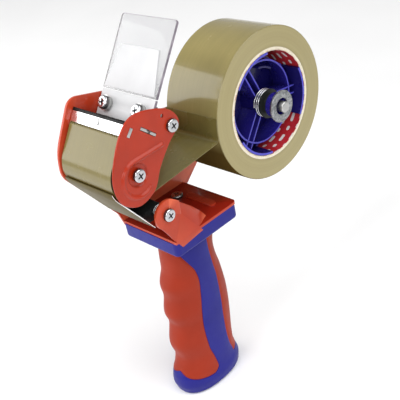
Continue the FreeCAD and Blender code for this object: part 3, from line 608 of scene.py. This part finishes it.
def polar(centre, turn, distance):
    """Point at a distance and an angle in degrees from a centre."""
    turn = math.radians(turn)
    return (centre[0] + distance * math.cos(turn), centre[1] + distance * math.sin(turn))


def between(start, end, steps):
    """Evenly spaced points after start, up to end."""
    start, end = np.array(start), np.array(end)
    return [tuple(start + (end - start) * i / steps) for i in range(1, steps + 1)]


def rounding(radius, turn):
    """How far a rounded edge is from its two faces at an angle in radians."""
    return radius * (1 - math.sin(turn)), radius * (1 - math.cos(turn))


def smooth_step(value, low, high):
    """0 below low, 1 above high, eased between."""
    t = min(max((value - low) / (high - low), 0.0), 1.0)
    return t * t * (3 - 2 * t)


# ---- tape roll and core

ROLL_LAYERS = 46
ROLL_EDGE = 0.45
LAYER_DRIFT = 0.035
TUBE_INSET = 0.3
TUBE_EDGE = 0.35
LABEL_SHEET = 0.3


def tape_roll():
    """Wound roll: its end faces step in and out by hundredths where layers wandered."""
    rng = np.random.default_rng(SEED)
    radii = np.linspace(CORE_R, ROLL_R - 0.35, ROLL_LAYERS)
    wander = np.cumsum(rng.normal(0, LAYER_DRIFT, ROLL_LAYERS))
    wander = -0.12 + 0.10 * np.tanh(wander - wander.mean())
    near = [(radius, TAPE_HALF + w) for radius, w in zip(radii, wander)]
    far = [(radius, -TAPE_HALF - w) for radius, w in zip(radii, wander)]
    rim = [(ROLL_R, TAPE_HALF - ROLL_EDGE), (ROLL_R, -TAPE_HALF + ROLL_EDGE)]
    obj = lathe("wound_tape", near + rim + far[::-1], "tape_roll", ROLL_FACE, 200)

    def on_rim(face):
        arm = Vector((face.center.x - SPINDLE.x, 0, face.center.z - SPINDLE.z))
        return arm.normalized().dot(face.normal) > 0.6 and arm.length > (ROLL_R - 0.5) * MM

    second_material(obj, MATERIALS["tan_tape"], on_rim)


def paper_tube():
    """Paper core with a small bevel at the bore and a smaller one outside."""
    near = [(BORE_R, TAPE_HALF - TUBE_INSET - TUBE_EDGE), (BORE_R + TUBE_EDGE, TAPE_HALF - TUBE_INSET),
            (CORE_R - 0.1, TAPE_HALF - TUBE_INSET), (CORE_R, TAPE_HALF - 0.5)]
    far = [(CORE_R, -TAPE_HALF + 0.5), (CORE_R - 0.1, -TAPE_HALF + TUBE_INSET),
           (BORE_R + TUBE_EDGE, -TAPE_HALF + TUBE_INSET), (BORE_R, -TAPE_HALF + TUBE_INSET + TUBE_EDGE)]
    lathe("paper_tube", near + far, "tape_core")


def printed_liner():
    """Thin printed sheet inside the tube, with a bare paper edge at both ends."""
    inner = BORE_R - LABEL_SHEET
    end = TAPE_HALF - TUBE_INSET
    obj = lathe("printed_liner", [(inner, end), (BORE_R, end), (BORE_R, -end), (inner, -end)], "core_label")
    second_material(obj, MATERIALS["cardboard_core"], lambda face: abs(face.normal.y) > 0.7)


COIL_STEPS = 56
COIL_SIDES = 12


def coil_piece(node, wire_r, turns):
    """Round-wire coil spring filling a CAD spring's box."""
    low, high = span(node)
    mean = (high.x - low.x) / 2 - wire_r
    cx, cz = (high.x + low.x) / 2, (high.z + low.z) / 2
    steps = int(turns * COIL_STEPS)
    verts = []
    for i in range(steps + 1):
        turn = 2 * math.pi * turns * i / steps
        y = low.y + wire_r + (high.y - low.y - 2 * wire_r) * i / steps
        for j in range(COIL_SIDES):
            lean = 2 * math.pi * j / COIL_SIDES
            radius = mean + wire_r * math.cos(lean)
            verts.append(at(cx + radius * math.cos(turn), y + wire_r * math.sin(lean),
                            cz + radius * math.sin(turn)))
    new_piece(node + "_wire", verts, capped_tube(steps + 1, COIL_SIDES), node)


tape_roll()
paper_tube()
printed_liner()
coil_piece("brake_spring", 0.6, 2.5)
coil_piece("flap_spring", 0.5, 5)


# ---- handle

# Height, front, rear and half width of the grip, millimetres.
HANDLE = ((-60.0, 101.5, 59.5, 18.0), (-72.0, 102.5, 61.5, 17.6), (-84.0, 104.0, 63.6, 17.0),
          (-92.0, 105.0, 63.0, 16.8), (-104.0, 110.0, 60.3, 16.6), (-112.5, 109.2, 59.2, 16.5),
          (-127.0, 112.5, 57.9, 16.5), (-136.5, 110.4, 58.2, 16.5), (-155.0, 114.4, 59.8, 16.6),
          (-168.0, 111.8, 61.8, 16.9), (-176.0, 113.8, 62.2, 17.2), (-185.0, 118.8, 60.2, 18.0),
          (-191.0, 119.6, 58.8, 18.8), (-196.0, 118.4, 59.8, 18.4))
SECTION_POWER = 2.3
FRONT_SEAM = ((100.5, -60.0), (99.4, -74.0), (95.8, -83.0), (91.7, -92.0), (90.4, -101.0), (91.5, -114.0),
              (94.0, -130.0), (95.2, -147.0), (94.5, -162.0), (92.0, -173.0), (90.6, -181.0))
REAR_SEAM = ((79.0, -60.0), (77.5, -78.0), (75.5, -95.0), (74.0, -108.0), (74.4, -126.0), (75.8, -145.0),
             (76.0, -160.0), (75.0, -172.0), (72.5, -180.5))


def hermite(heights, values, z):
    """Value at a height by a monotone cubic through falling heights, held flat past both ends."""
    count = len(heights)
    if z >= heights[0]:
        return values[0]
    if z <= heights[-1]:
        return values[-1]
    k = max(i for i in range(count - 1) if heights[i] >= z)
    slopes = []
    for i in (k, k + 1):
        lower, upper = max(i - 1, 0), min(i + 1, count - 1)
        left = (values[i] - values[lower]) / (heights[i] - heights[lower]) if i > lower else 0.0
        right = (values[upper] - values[i]) / (heights[upper] - heights[i]) if upper > i else left
        if i == lower:
            left = right
        slopes.append(0.0 if left * right <= 0 else 2 * left * right / (left + right))
    width = heights[k + 1] - heights[k]
    t = (z - heights[k]) / width
    return ((2 * t ** 3 - 3 * t * t + 1) * values[k] + (t ** 3 - 2 * t * t + t) * width * slopes[0]
            + (-2 * t ** 3 + 3 * t * t) * values[k + 1] + (t ** 3 - t * t) * width * slopes[1])


def seam_x(seam, z):
    return hermite([p[1] for p in seam], [p[0] for p in seam], z)


def section(z, sink=0.0):
    """Centre and half sizes of the grip at a height, sunk inwards by a little."""
    heights = [row[0] for row in HANDLE]
    front, rear, half = (hermite(heights, [row[column] for row in HANDLE], z) for column in (1, 2, 3))
    return (front + rear) / 2, (front - rear) / 2 - sink, half - sink


def on_section(z, turn, sink=0.0):
    """Point on the grip at a height and an angle: 0 faces front, half a turn faces the rear."""
    centre, reach, half = section(z, sink)
    cosine, sine = math.cos(turn), math.sin(turn)
    power = 2 / SECTION_POWER
    return (centre + reach * math.copysign(abs(cosine) ** power, cosine),
            half * math.copysign(abs(sine) ** power, sine), z)


def turn_at_x(z, x):
    """Angle on the near side where the section crosses a given X."""
    centre, reach, _half = section(z)
    ratio = min(max((x - centre) / reach, -1.0), 1.0)
    return math.acos(math.copysign(abs(ratio) ** (SECTION_POWER / 2), ratio))


GROOVE = 0.55
GROOVE_WIDTH = 1.3
GRIP_CROWN = 0.25
ARC_TO_MM = 20.0
ROW_CROWDING = 1.15
CORNER_RISE = 4.0
CORNER_SHARE = 0.12
GRIP_TOP = -64.0
GRIP_ROWS = 150
GRIP_COLUMNS = 49
GRIP_THICK = 2.2


def grip_depth(from_edge):
    """How far the soft grip dips into its groove near its edge, and stands proud away from it."""
    groove = GROOVE * (1 - smooth_step(from_edge, 0.0, GROOVE_WIDTH))
    return groove - GRIP_CROWN * smooth_step(from_edge, 0.5, 3.0)


def front_bottom(across):
    """Lower edge of the front grip; across is 0 on the seam and 1 at the very front."""
    return -187.4 + 8.0 * across ** 1.6


def rear_bottom(across):
    """Lower edge of the rear grip, with across as for the front."""
    return -184.8 + 1.5 * across


def row_height(down, end):
    """Height of a row between the grips' top and an end, with the rows closer near that end."""
    return GRIP_TOP + (end - GRIP_TOP) * (1 - (1 - down) ** ROW_CROWDING)


def grip_shell(name, node, seam, bottom, faces_front):
    """Soft grip as a closed shell: an outer skin whose rim turns in to meet the hard core."""
    verts = []
    for row in range(GRIP_ROWS):
        down = row / (GRIP_ROWS - 1)
        for column in range(GRIP_COLUMNS):
            side = -1 + 2 * column / (GRIP_COLUMNS - 1)
            across = 1 - abs(side)
            low = bottom(across) + grip_corner(across)
            z = row_height(down, low)
            limit = turn_at_x(z, seam_x(seam, z))
            turn = side * limit if faces_front else math.pi + side * (math.pi - limit)
            edge = abs(limit if faces_front else math.pi - limit) * (1 - abs(side)) * ARC_TO_MM
            verts.append(at(*on_section(z, turn, grip_depth(min(edge, abs(z - low))))))
    obj = new_piece(name, verts, grid_faces(GRIP_ROWS, GRIP_COLUMNS), node)
    flip_if_inward(obj)
    thicken(obj, GRIP_THICK)


def flip_if_inward(obj):
    """Make an open skin's faces look away from the grip's middle."""
    low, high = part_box("handle_core")
    middle = (low + high) / 2
    score = sum((face.center - middle).xy.dot(face.normal.xy) for face in obj.data.polygons)
    if score < 0:
        obj.data.flip_normals()


def thicken(obj, depth):
    """Give an open skin a thickness inwards."""
    solid = obj.modifiers.new("thickness", "SOLIDIFY")
    solid.thickness = depth * MM
    solid.offset = -1
    apply_modifiers(obj)
    shade_by_angle(obj, 50)


CORE_SINK = 1.5
BUTT_ROUND = 3.0
BUTT_STEPS = 6
LIP_ROWS = (0.9965, 1.0, 1.004, 1.03)
BUTT_SPAN = 0.97
SIDE_STEPS = ((0.0, 0.5, 0.86, 0.94, 0.975, 1.0), (0.02, 0.06, 0.15, 0.5, 0.85, 0.94, 0.98, 1.0),
              (0.025, 0.06, 0.14, 0.5, 1.0))
SIDE_DENSITY = (26, 16, 22)
DOWN_ROWS = 130
BUTT_ROWS = 22


def fill(stops, density):
    """The stops with evenly spaced values put in every wide gap."""
    out = [stops[0]]
    for low, high in zip(stops, stops[1:]):
        pieces = max(1, round((high - low) * density))
        out.extend(low + (high - low) * i / pieces for i in range(1, pieces + 1))
    return out


def core_columns():
    """Column stations of the near side: (zone, share), zone 0 front grip, 1 bare band, 2 rear grip."""
    return [(zone, share) for zone in range(3) for share in fill(SIDE_STEPS[zone], SIDE_DENSITY[zone])]


def column_turn(zone, share, z):
    """Angle on the section at a column and a height."""
    front = turn_at_x(z, seam_x(FRONT_SEAM, z))
    rear = turn_at_x(z, seam_x(REAR_SEAM, z))
    if zone == 0:
        return front * share
    if zone == 1:
        return front + (rear - front) * share
    return rear + (math.pi - rear) * share


def grip_corner(across):
    """How much a grip's lower edge rises next to its seam."""
    return CORNER_RISE * (1 - min(across / CORNER_SHARE, 1.0)) ** 2


def column_bottom(zone, share):
    """Height on a column where the grips end."""
    if zone == 0:
        return front_bottom(1 - share) + grip_corner(1 - share)
    if zone == 2:
        return rear_bottom(share) + grip_corner(share)
    front, rear = front_bottom(0) + grip_corner(0), rear_bottom(0) + grip_corner(0)
    return front + (rear - front) * smooth_step(share, 0, 1)


def handle_core():
    """Hard core: sunk under both grips, bare in the side bands, rounded at the butt."""
    bottom = span("handle_core")[0].z
    near = core_columns()
    stations = [(zone, share, 1) for zone, share in near]
    stations += [(zone, share, -1) for zone, share in reversed(near[1:-1])]
    count = len(stations)
    downs = [i / DOWN_ROWS for i in range(DOWN_ROWS)] + list(LIP_ROWS)
    downs += [LIP_ROWS[-1] + BUTT_SPAN * i / BUTT_ROWS for i in range(1, BUTT_ROWS + 1)]
    verts = []
    for down in downs:
        for zone, share, side in stations:
            end = column_bottom(zone, share)
            if down <= 1:
                z = row_height(down, end)
            else:
                z = end + (bottom + BUTT_ROUND - end) * (down - 1)
            turn = side * column_turn(zone, share, max(z, end))
            covered = down < 1 and ((zone == 0 and share < 0.98) or (zone == 2 and share > 0.03))
            verts.append(at(*on_section(z, turn, CORE_SINK if covered else 0.0)))
    for step in range(1, BUTT_STEPS + 1):
        rise, inset = rounding(BUTT_ROUND, math.pi / 2 * step / BUTT_STEPS)
        for zone, share, side in stations:
            turn = side * column_turn(zone, share, column_bottom(zone, share))
            x, y, _z = on_section(bottom + BUTT_ROUND, turn, inset)
            verts.append(at(x, y, bottom + rise))
    new_piece("handle_body", verts, capped_tube(len(downs) + BUTT_STEPS, count), "handle_core")


COLLAR_CORNER = 4.0
COLLAR_EDGE = 2.6
COLLAR_TOP = -53.0
COLLAR_BOTTOM = -64.5
COLLAR_FRONT = 112.0
COLLAR_STEPS = 6
CORNER_STEPS = 8


def collar():
    """Rounded block under the saddle floor."""
    core_low, core_high = span("handle_core")
    x0, x1 = core_low.x + COLLAR_CORNER, COLLAR_FRONT - COLLAR_CORNER
    y0, y1 = core_low.y + COLLAR_CORNER, core_high.y - COLLAR_CORNER
    corners = ((x1, y1, 0), (x0, y1, 90), (x0, y0, 180), (x1, y0, 270))
    levels = [(COLLAR_TOP, 0.0), (COLLAR_TOP - 0.3, 0.0)]
    for step in range(COLLAR_STEPS + 1):
        rise, inset = rounding(COLLAR_EDGE, math.pi / 2 * step / COLLAR_STEPS)
        levels.append((COLLAR_BOTTOM + rise, inset))
    verts = []
    for z, inset in levels:
        for cx, cy, start in corners:
            for step in range(CORNER_STEPS + 1):
                turn = math.radians(start + 90 * step / CORNER_STEPS)
                radius = COLLAR_CORNER - inset
                verts.append(at(cx + radius * math.cos(turn), cy + radius * math.sin(turn), z))
    new_piece("handle_collar", verts, capped_tube(len(levels), 4 * (CORNER_STEPS + 1)), "handle_core")


handle_core()
collar()
grip_shell("front_grip_skin", "grip_front", FRONT_SEAM, front_bottom, True)
grip_shell("rear_grip_skin", "grip_rear", REAR_SEAM, rear_bottom, False)


# ---- near head plate

PLATE_OUTLINE = ((104.0, 43.3), (120.0, 46.6), (130.4, 41.7), (140.0, 28.4), (146.2, 12.0), (143.5, -3.0),
                 (131.2, -11.1), (117.5, -7.0), (109.3, 5.2), (98.3, 17.3), (87.6, 26.5), (91.5, 36.5))
PLATE_MIDDLE = (119.0, 20.0)
PLATE_SHEET = 1.5
PLATE_RINGS = 90
PLATE_SPOKES = 420
PLATE_EDGE = 0.7
OUTLINE_POINTS = 1200
HOLE_SIDES = 40
BOLT = (94.2, 27.8)
BEAD_START = (104.7, 19.3)
BEAD_CENTRE = (ROLLER[0] + 0.3, ROLLER[1] - 2.2)
BEAD_RADIUS = 12.0
BEAD_HALF = 1.9
BEAD_HEIGHT = 1.45
BEAD_ARC = (-125.0, 90.0)
BEAD_BACK = 162.0
DISH_RADIUS = 8.2
DISH_DEPTH = 1.2
PLATE_SLOTS = (((123.6, 39.5), (127.8, 35.0), 1.3), ((107.4, 27.0), (117.5, 36.4), 1.2))
PLATE_HOLES = ((*ROLLER, 2.0), (*BOLT, 2.0), (99.7, 36.6, 1.3))


def bead_distance(x, z):
    """Distance from the bead's centreline: a straight run, then an arc round the roller screw."""
    cx, cz = BEAD_CENTRE
    top = cz + BEAD_RADIUS
    run = min(max((x - BEAD_START[0]) / (cx - BEAD_START[0]), 0.0), 1.0)
    near_x = BEAD_START[0] + run * (cx - BEAD_START[0])
    near_z = BEAD_START[1] + run * (top - BEAD_START[1])
    straight = math.hypot(x - near_x, z - near_z)
    angle = math.degrees(math.atan2(z - cz, x - cx))
    first, last = BEAD_ARC
    angle = max(angle, first) if angle < last else (last if angle < BEAD_BACK else first)
    end = polar(BEAD_CENTRE, angle, BEAD_RADIUS)
    return min(straight, math.hypot(x - end[0], z - end[1]))


def plate_height(x, z):
    """Pressing of the near head plate, outward positive."""
    bead = bead_distance(x, z)
    height = BEAD_HEIGHT * (1 - smooth_step(bead, 0.35, BEAD_HALF))
    radius = math.hypot(x - ROLLER[0], z - ROLLER[1])
    return height - DISH_DEPTH * (1 - smooth_step(radius, DISH_RADIUS - 1.6, DISH_RADIUS))


def near_head_plate():
    """Pressed plate in rings about its middle: outer face, rounded edge, inner face, then its cuts."""
    outline = closed_spline(PLATE_OUTLINE, OUTLINE_POINTS)
    mx, mz = PLATE_MIDDLE
    rim = sorted((math.atan2(p[1] - mz, p[0] - mx), math.hypot(p[0] - mx, p[1] - mz)) for p in outline)
    turns = [-math.pi + 2 * math.pi * spoke / PLATE_SPOKES for spoke in range(PLATE_SPOKES)]
    reaches = np.interp(turns, [turn for turn, _reach in rim], [reach for _turn, reach in rim],
                        period=2 * math.pi)
    inner, outer = PLATE_INNER, PLATE_INNER + PLATE_SHEET
    levels = [i / PLATE_RINGS for i in range(1, PLATE_RINGS + 1)]
    rings = [(level, PLATE_EDGE, outer) for level in levels]
    for degrees in (30, 60, 90):
        inset, drop = rounding(PLATE_EDGE, math.radians(degrees))
        rings.append((1.0, inset, outer - drop))
    for degrees in (0, 45, 90):
        rise, inset = rounding(PLATE_EDGE, math.radians(degrees))
        rings.append((1.0, inset, inner + rise))
    rings += [(level, PLATE_EDGE, inner) for level in reversed(levels[:-1])]
    verts = []
    for scale, inset, y in rings:
        for turn, reach in zip(turns, reaches):
            radius = (float(reach) - inset) * scale
            x, z = mx + radius * math.cos(turn), mz + radius * math.sin(turn)
            verts.append(at(x, y + plate_height(x, z), z))
    faces = capped_tube(len(rings), PLATE_SPOKES)
    obj = new_piece("near_head_plate", verts, faces, "head_plate_near", PLATE_RED, smooth=False)
    cut_prisms(obj, [slot_outline(*slot) for slot in PLATE_SLOTS]
               + [circle_outline(*hole) for hole in PLATE_HOLES], inner - 3, outer + 3)
    shade_by_angle(obj, 62)


def slot_outline(start, end, half):
    """Rectangle along a line, half as wide as given on each side."""
    dx, dz = end[0] - start[0], end[1] - start[1]
    length = math.hypot(dx, dz)
    ux, uz = dx / length, dz / length
    return [(px - side * half * uz, pz + side * half * ux)
            for (px, pz), side in ((start, 1), (end, 1), (end, -1), (start, -1))]


def circle_outline(cx, cz, radius):
    turns = [2 * math.pi * i / HOLE_SIDES for i in range(HOLE_SIDES)]
    return [(cx + radius * math.cos(turn), cz + radius * math.sin(turn)) for turn in turns]


def cut_prisms(obj, outlines, y_from, y_to):
    """Cut prisms along Y out of a piece."""
    verts, faces = [], []
    for outline in outlines:
        first, count = len(verts), len(outline)
        for y in (y_from, y_to):
            verts.extend(at(x, y, z) for x, z in outline)
        for i in range(count):
            j = (i + 1) % count
            faces.append((first + i, first + j, first + count + j, first + count + i))
        faces.append(tuple(first + i for i in reversed(range(count))))
        faces.append(tuple(first + count + i for i in range(count)))
    mesh = bpy.data.meshes.new("cutter")
    mesh.from_pydata([tuple(v) for v in verts], [], faces)
    cutter = add_object("cutter", mesh)
    tidy_normals(cutter)
    cut = obj.modifiers.new("cut", "BOOLEAN")
    cut.operation = "DIFFERENCE"
    cut.solver = "EXACT"
    cut.object = cutter
    apply_modifiers(obj)
    bpy.data.objects.remove(cutter)
    bpy.data.meshes.remove(mesh)


near_head_plate()


# ---- tape strand

STRAND_COLUMNS = 51
STRAND_THICK = 0.4
STRAND_GAP = 0.3
STRAND_WRAP = 18.95
STRAND_END = 2.4
TOOTH_STEP = 1.2
PEEL_TURN = -1.0
PEEL_LAP = 14
PEEL_BEND = 3.0
BLADE_FOOT = (132.2, 34.8)
BLADE_TURN = 125.4


def strand_line():
    """(X, Z) centreline of the strand from the roll, round the roller, to the blade's face."""
    roll = ROLL_R + STRAND_GAP + STRAND_THICK / 2
    corner = polar((0, 0), PEEL_TURN, roll)
    bend = (corner[0] + PEEL_BEND, corner[1])
    dx, dz = ROLLER[0] - bend[0], ROLLER[1] - bend[1]
    run = math.degrees(math.atan2(dz, dx) - math.asin((STRAND_WRAP - PEEL_BEND) / math.hypot(dx, dz)))
    blade_touch = polar(polar(BLADE_FOOT, BLADE_TURN, 0.2), BLADE_TURN - 90, 0.35)
    bx, bz = blade_touch[0] - ROLLER[0], blade_touch[1] - ROLLER[1]
    off = math.degrees(math.atan2(bz, bx) - math.acos(STRAND_WRAP / math.hypot(bx, bz)))
    points = [polar((0, 0), PEEL_TURN + PEEL_LAP * (1 - i / 10), roll) for i in range(11)]
    points += [polar(bend, 180 + PEEL_TURN + (90 + run - PEEL_TURN) * i / 14, PEEL_BEND)
               for i in range(1, 15)]
    points += between(points[-1], polar(ROLLER, run - 90, STRAND_WRAP), 12)
    points += [polar(ROLLER, run - 90 + (off - run + 90) * i / 60, STRAND_WRAP) for i in range(1, 61)]
    points += between(points[-1], blade_touch, 8)
    points += [polar(blade_touch, BLADE_TURN, STRAND_END * i / 4) for i in range(1, 5)]
    return points


def tape_strand():
    """Sheet along the strand's line, with a toothed free end."""
    line = strand_line()
    rows = len(line)
    verts = []
    for side in (1, -1):
        for r, (x, z) in enumerate(line):
            before, after = line[max(r - 1, 0)], line[min(r + 1, rows - 1)]
            dx, dz = after[0] - before[0], after[1] - before[1]
            length = math.hypot(dx, dz)
            ux, uz = dx / length, dz / length
            for c in range(STRAND_COLUMNS):
                y = -TAPE_HALF + 2 * TAPE_HALF * c / (STRAND_COLUMNS - 1)
                slip = TOOTH_STEP * (c % 2) if r == rows - 1 else 0.0
                off = side * STRAND_THICK / 2
                verts.append(at(x - uz * off - ux * slip, y, z + ux * off - uz * slip))
    top = grid_faces(rows, STRAND_COLUMNS)
    count = rows * STRAND_COLUMNS
    faces = top + [tuple(reversed([i + count for i in face])) for face in top]
    border = (list(range(STRAND_COLUMNS))
              + [r * STRAND_COLUMNS + STRAND_COLUMNS - 1 for r in range(1, rows)]
              + [(rows - 1) * STRAND_COLUMNS + c for c in reversed(range(STRAND_COLUMNS - 1))]
              + [r * STRAND_COLUMNS for r in reversed(range(1, rows - 1))])
    for i, a in enumerate(border):
        b = border[(i + 1) % len(border)]
        faces.append((a, b, b + count, a + count))
    new_piece("tape_strand", verts, faces, "tape_web", STRAND)


tape_strand()


# ---- rounded hard parts

WIPER_LEAN = math.radians(36)
WIPER_NORMAL = Vector((math.cos(WIPER_LEAN), 0, math.sin(WIPER_LEAN)))
TOOTH_ROOT = 9.4
RECESS_RADIUS = 2.9
RECESS_DEPTHS = (0.15, 1.6)
HEAD_DEPTH = 4
ALONG_Y, SQUARE_TO_WIPER, ALONG_Z = range(3)




def shaded_teeth():
    """The cutter's teeth: painted dark above the bright band, a painted shade for the shadowed gap behind the
    blade.
    """
    obj = softened("cutter_blade", 0.05)
    obj.data.materials.append(RECESS_SHADE)
    turn = math.radians(BLADE_TURN)
    up = Vector((math.cos(turn), 0, math.sin(turn)))
    root = at(BLADE_FOOT[0], 0, BLADE_FOOT[1]) + up * TOOTH_ROOT * MM
    with editing(obj) as work:
        bmesh.ops.bisect_plane(work, geom=work.verts[:] + work.edges[:] + work.faces[:],
                               plane_co=root, plane_no=up)
        for face in work.faces:
            if (face.calc_center_median() - root).dot(up) > 0:
                face.material_index = 1


def islands(work):
    """Vertices of each separate solid in a mesh."""
    found, seen = [], set()
    for start in work.verts:
        if start in seen:
            continue
        island, queue = [], [start]
        seen.add(start)
        while queue:
            vert = queue.pop()
            island.append(vert)
            for edge in vert.link_edges:
                other = edge.other_vert(vert)
                if other not in seen:
                    seen.add(other)
                    queue.append(other)
        found.append(island)
    return found


def mark_screw(island, kind):
    """Give one screw's cross recess the second material, a painted shade, and its head's rim the third, a darker
    painted shade.
    """
    middle = sum((v.co for v in island), Vector()) / len(island)
    if kind == ALONG_Y:
        axis = Vector((0, 1 if middle.y > 0 else -1, 0))
    else:
        axis = WIPER_NORMAL if kind == SQUARE_TO_WIPER else Vector((0, 0, 1))
    offsets = [(v.co - middle, (v.co - middle).dot(axis)) for v in island]
    spread = [sum((offset - axis * height).length for offset, height in offsets if side * height > 0)
              for side in (1, -1)]
    if kind == SQUARE_TO_WIPER and spread[1] > spread[0]:
        axis = -axis
    top = max(v.co.dot(axis) for v in island)
    shank = [v.co for v in island if top - v.co.dot(axis) > HEAD_DEPTH * MM]
    centre = sum(shank, Vector()) / len(shank)
    for face in {f for v in island for f in v.link_faces}:
        off = face.calc_center_median() - centre
        across = (off - axis * off.dot(axis)).length
        depth = top - face.calc_center_median().dot(axis)
        if across < RECESS_RADIUS * MM and RECESS_DEPTHS[0] * MM < depth < RECESS_DEPTHS[1] * MM:
            face.material_index = 1
        elif across > RECESS_RADIUS * MM and depth < HEAD_DEPTH * MM and abs(face.normal.dot(axis)) < 0.35:
            face.material_index = 2


def screws(node, kind):
    """Rounded screws with painted shade in the recess and on the rim; kind says which way their heads face."""
    obj = softened(node, 0.12)
    obj.data.materials.append(RECESS_SHADE)
    obj.data.materials.append(SHADE_STEEL)
    with editing(obj) as work:
        for island in islands(work):
            mark_screw(island, kind)


EDGE_WIDTHS = (("base_frame", 0.75), ("wiper_bracket", 0.35), ("blade_carrier", 0.3), ("guide_flap", 0.2),
               ("flap_carrier", 0.5), ("hub_shell", 0.3), ("hub_web", 0.3), ("hub_ring", 0.3),
               ("hub_ribs", 0.25), ("brake_seat", 0.2), ("brake_knob", 0.25), ("brake_washer", 0.25),
               ("spindle_stud", 0.3), ("wiper_leaf", 0.3), ("wiper_foot", 0.3), ("wiper_stiffener", 0.25))
WHOLE_MATERIAL = {"brake_washer": GALVANISED, "wiper_foot": MATERIALS["frosted_plastic"],
                  "guide_flap": FLAP_TAPE_REFLECTION, "hub_web": SHADED_HUB_BLUE, "hub_shell": SHADED_HUB_BLUE}

for node, width in EDGE_WIDTHS:
    piece = softened(node, width)
    if node in WHOLE_MATERIAL:
        assign(piece, WHOLE_MATERIAL[node])
    if node == "wiper_bracket":
        # Painted shade: the bracket's middle between the head plates is made dark.
        second_material(piece, SHADE_STEEL, lambda face: abs(face.center.y) < PLATE_INNER * MM)
    if node == "base_frame":
        # Painted shade: the saddle floor's upward faces get the darker red.
        second_material(piece, SHADED_FLOOR_RED, lambda face: face.normal.z > 0.8 and face.center.z < SADDLE_TOP)
    if node == "guide_flap":
        second_material(piece, MATERIALS["blade_steel"], lambda face: abs(face.normal.y) > 0.5)
    if node in ("hub_shell", "hub_ring", "hub_ribs"):
        # Painted highlight: the hub's faces that look to the open side get the lighter blue.
        second_material(piece, LIT_HUB_BLUE, lambda face: face.normal.y > 0.75)
    if node in ("wiper_leaf", "wiper_foot"):
        has_top = node == "wiper_leaf"
        second_material(piece, CLEAR_EDGE,
                        lambda face: abs(face.normal.y) > 0.5 or (has_top and face.normal.z > 0.7))

shaded_teeth()

for node, kind in (("head_screws", ALONG_Y), ("roller_screws", ALONG_Y), ("shaft_screws", ALONG_Y),
                   ("wiper_screws", SQUARE_TO_WIPER), ("saddle_screws", ALONG_Z)):
    screws(node, kind)


# ---- stage, lights, camera

CAMERA_PLACE = (0.26871, 0.35857, 0.34826)
CAMERA_RIGHT = (-0.692739, 0.69906, -0.177282)
CAMERA_UP = (-0.472778, -0.254563, 0.843611)
CAMERA_LENS = 66.893
SKY_STRENGTH = 0.55
SKY_LEVELS = ((0.0, 0.95), (0.5, 0.60))
SUN_STRENGTH = 1.8
SUN_SPREAD = 55.0
SUN_FROM = Vector((-0.25, 0.55, 1.0))
FLOOR_REACH = 6.0
# Name, place from the object's middle in metres, width, height, watts.
PANELS = (("panel", (0.82, -0.85, 0.48), 1.3, 0.85, 10), ("front", (0.75, 0.85, 0.55), 0.6, 0.6, 4),
          ("key", (0.60, 0.05, 0.85), 0.32, 0.32, 3.5))


def camera():
    data = bpy.data.cameras.new("camera")
    data.lens = CAMERA_LENS
    data.sensor_width = 36.0
    data.clip_start = 0.01
    data.clip_end = 20.0
    obj = add_object("camera", data)
    right = Vector(CAMERA_RIGHT).normalized()
    up = (Vector(CAMERA_UP) - right * right.dot(Vector(CAMERA_UP))).normalized()
    back = right.cross(up)
    turn = Matrix((right, up, back)).transposed().to_4x4()
    obj.matrix_world = Matrix.Translation(Vector(CAMERA_PLACE)) @ turn
    bpy.context.scene.camera = obj


def aimed_light(name, kind, power, direction):
    """Light that shines along a direction."""
    data = bpy.data.lights.new(name, kind)
    data.energy = power
    obj = add_object(name, data)
    obj.rotation_euler = direction.to_track_quat("-Z", "Y").to_euler()
    return obj


def sky():
    """Soft studio surround, brighter towards the horizon."""
    world = bpy.data.worlds.new("studio")
    world.use_nodes = True
    tree = world.node_tree
    place = tree.nodes.new("ShaderNodeTexCoord")
    split = tree.nodes.new("ShaderNodeSeparateXYZ")
    ramp = tree.nodes.new("ShaderNodeValToRGB")
    tree.links.new(place.outputs["Generated"], split.inputs[0])
    tree.links.new(split.outputs["Z"], ramp.inputs[0])
    tree.links.new(ramp.outputs[0], tree.nodes["Background"].inputs["Color"])
    for element, (position, level) in zip(ramp.color_ramp.elements, SKY_LEVELS):
        element.position = position
        element.color = (level, level, level, 1)
    tree.nodes["Background"].inputs["Strength"].default_value = SKY_STRENGTH
    bpy.context.scene.world = world


def studio():
    """Floor under the object, surround and lights."""
    low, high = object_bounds()
    centre = (low + high) / 2
    mesh = bpy.data.meshes.new("floor")
    corners = ((-1, -1), (1, -1), (1, 1), (-1, 1))
    mesh.from_pydata([(x * FLOOR_REACH, y * FLOOR_REACH, low.z) for x, y in corners], [], [(0, 1, 2, 3)])
    floor = add_object("floor", mesh)
    assign(floor, STUDIO_FLOOR)
    floor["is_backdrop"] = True
    sky()
    # The broad sun also keeps the floor the same tone far out.
    sun = aimed_light("overhead", "SUN", SUN_STRENGTH, -SUN_FROM)
    sun.data.angle = math.radians(SUN_SPREAD)
    for name, offset, width, height, power in PANELS:
        place = centre + Vector(offset)
        panel = aimed_light(name, "AREA", power, centre - place)
        panel.location = place
        panel.data.shape = "RECTANGLE"
        panel.data.size, panel.data.size_y = width, height
    bpy.context.scene.view_settings.view_transform = "Standard"
    bpy.context.scene.view_settings.look = "None"


camera()
studio()
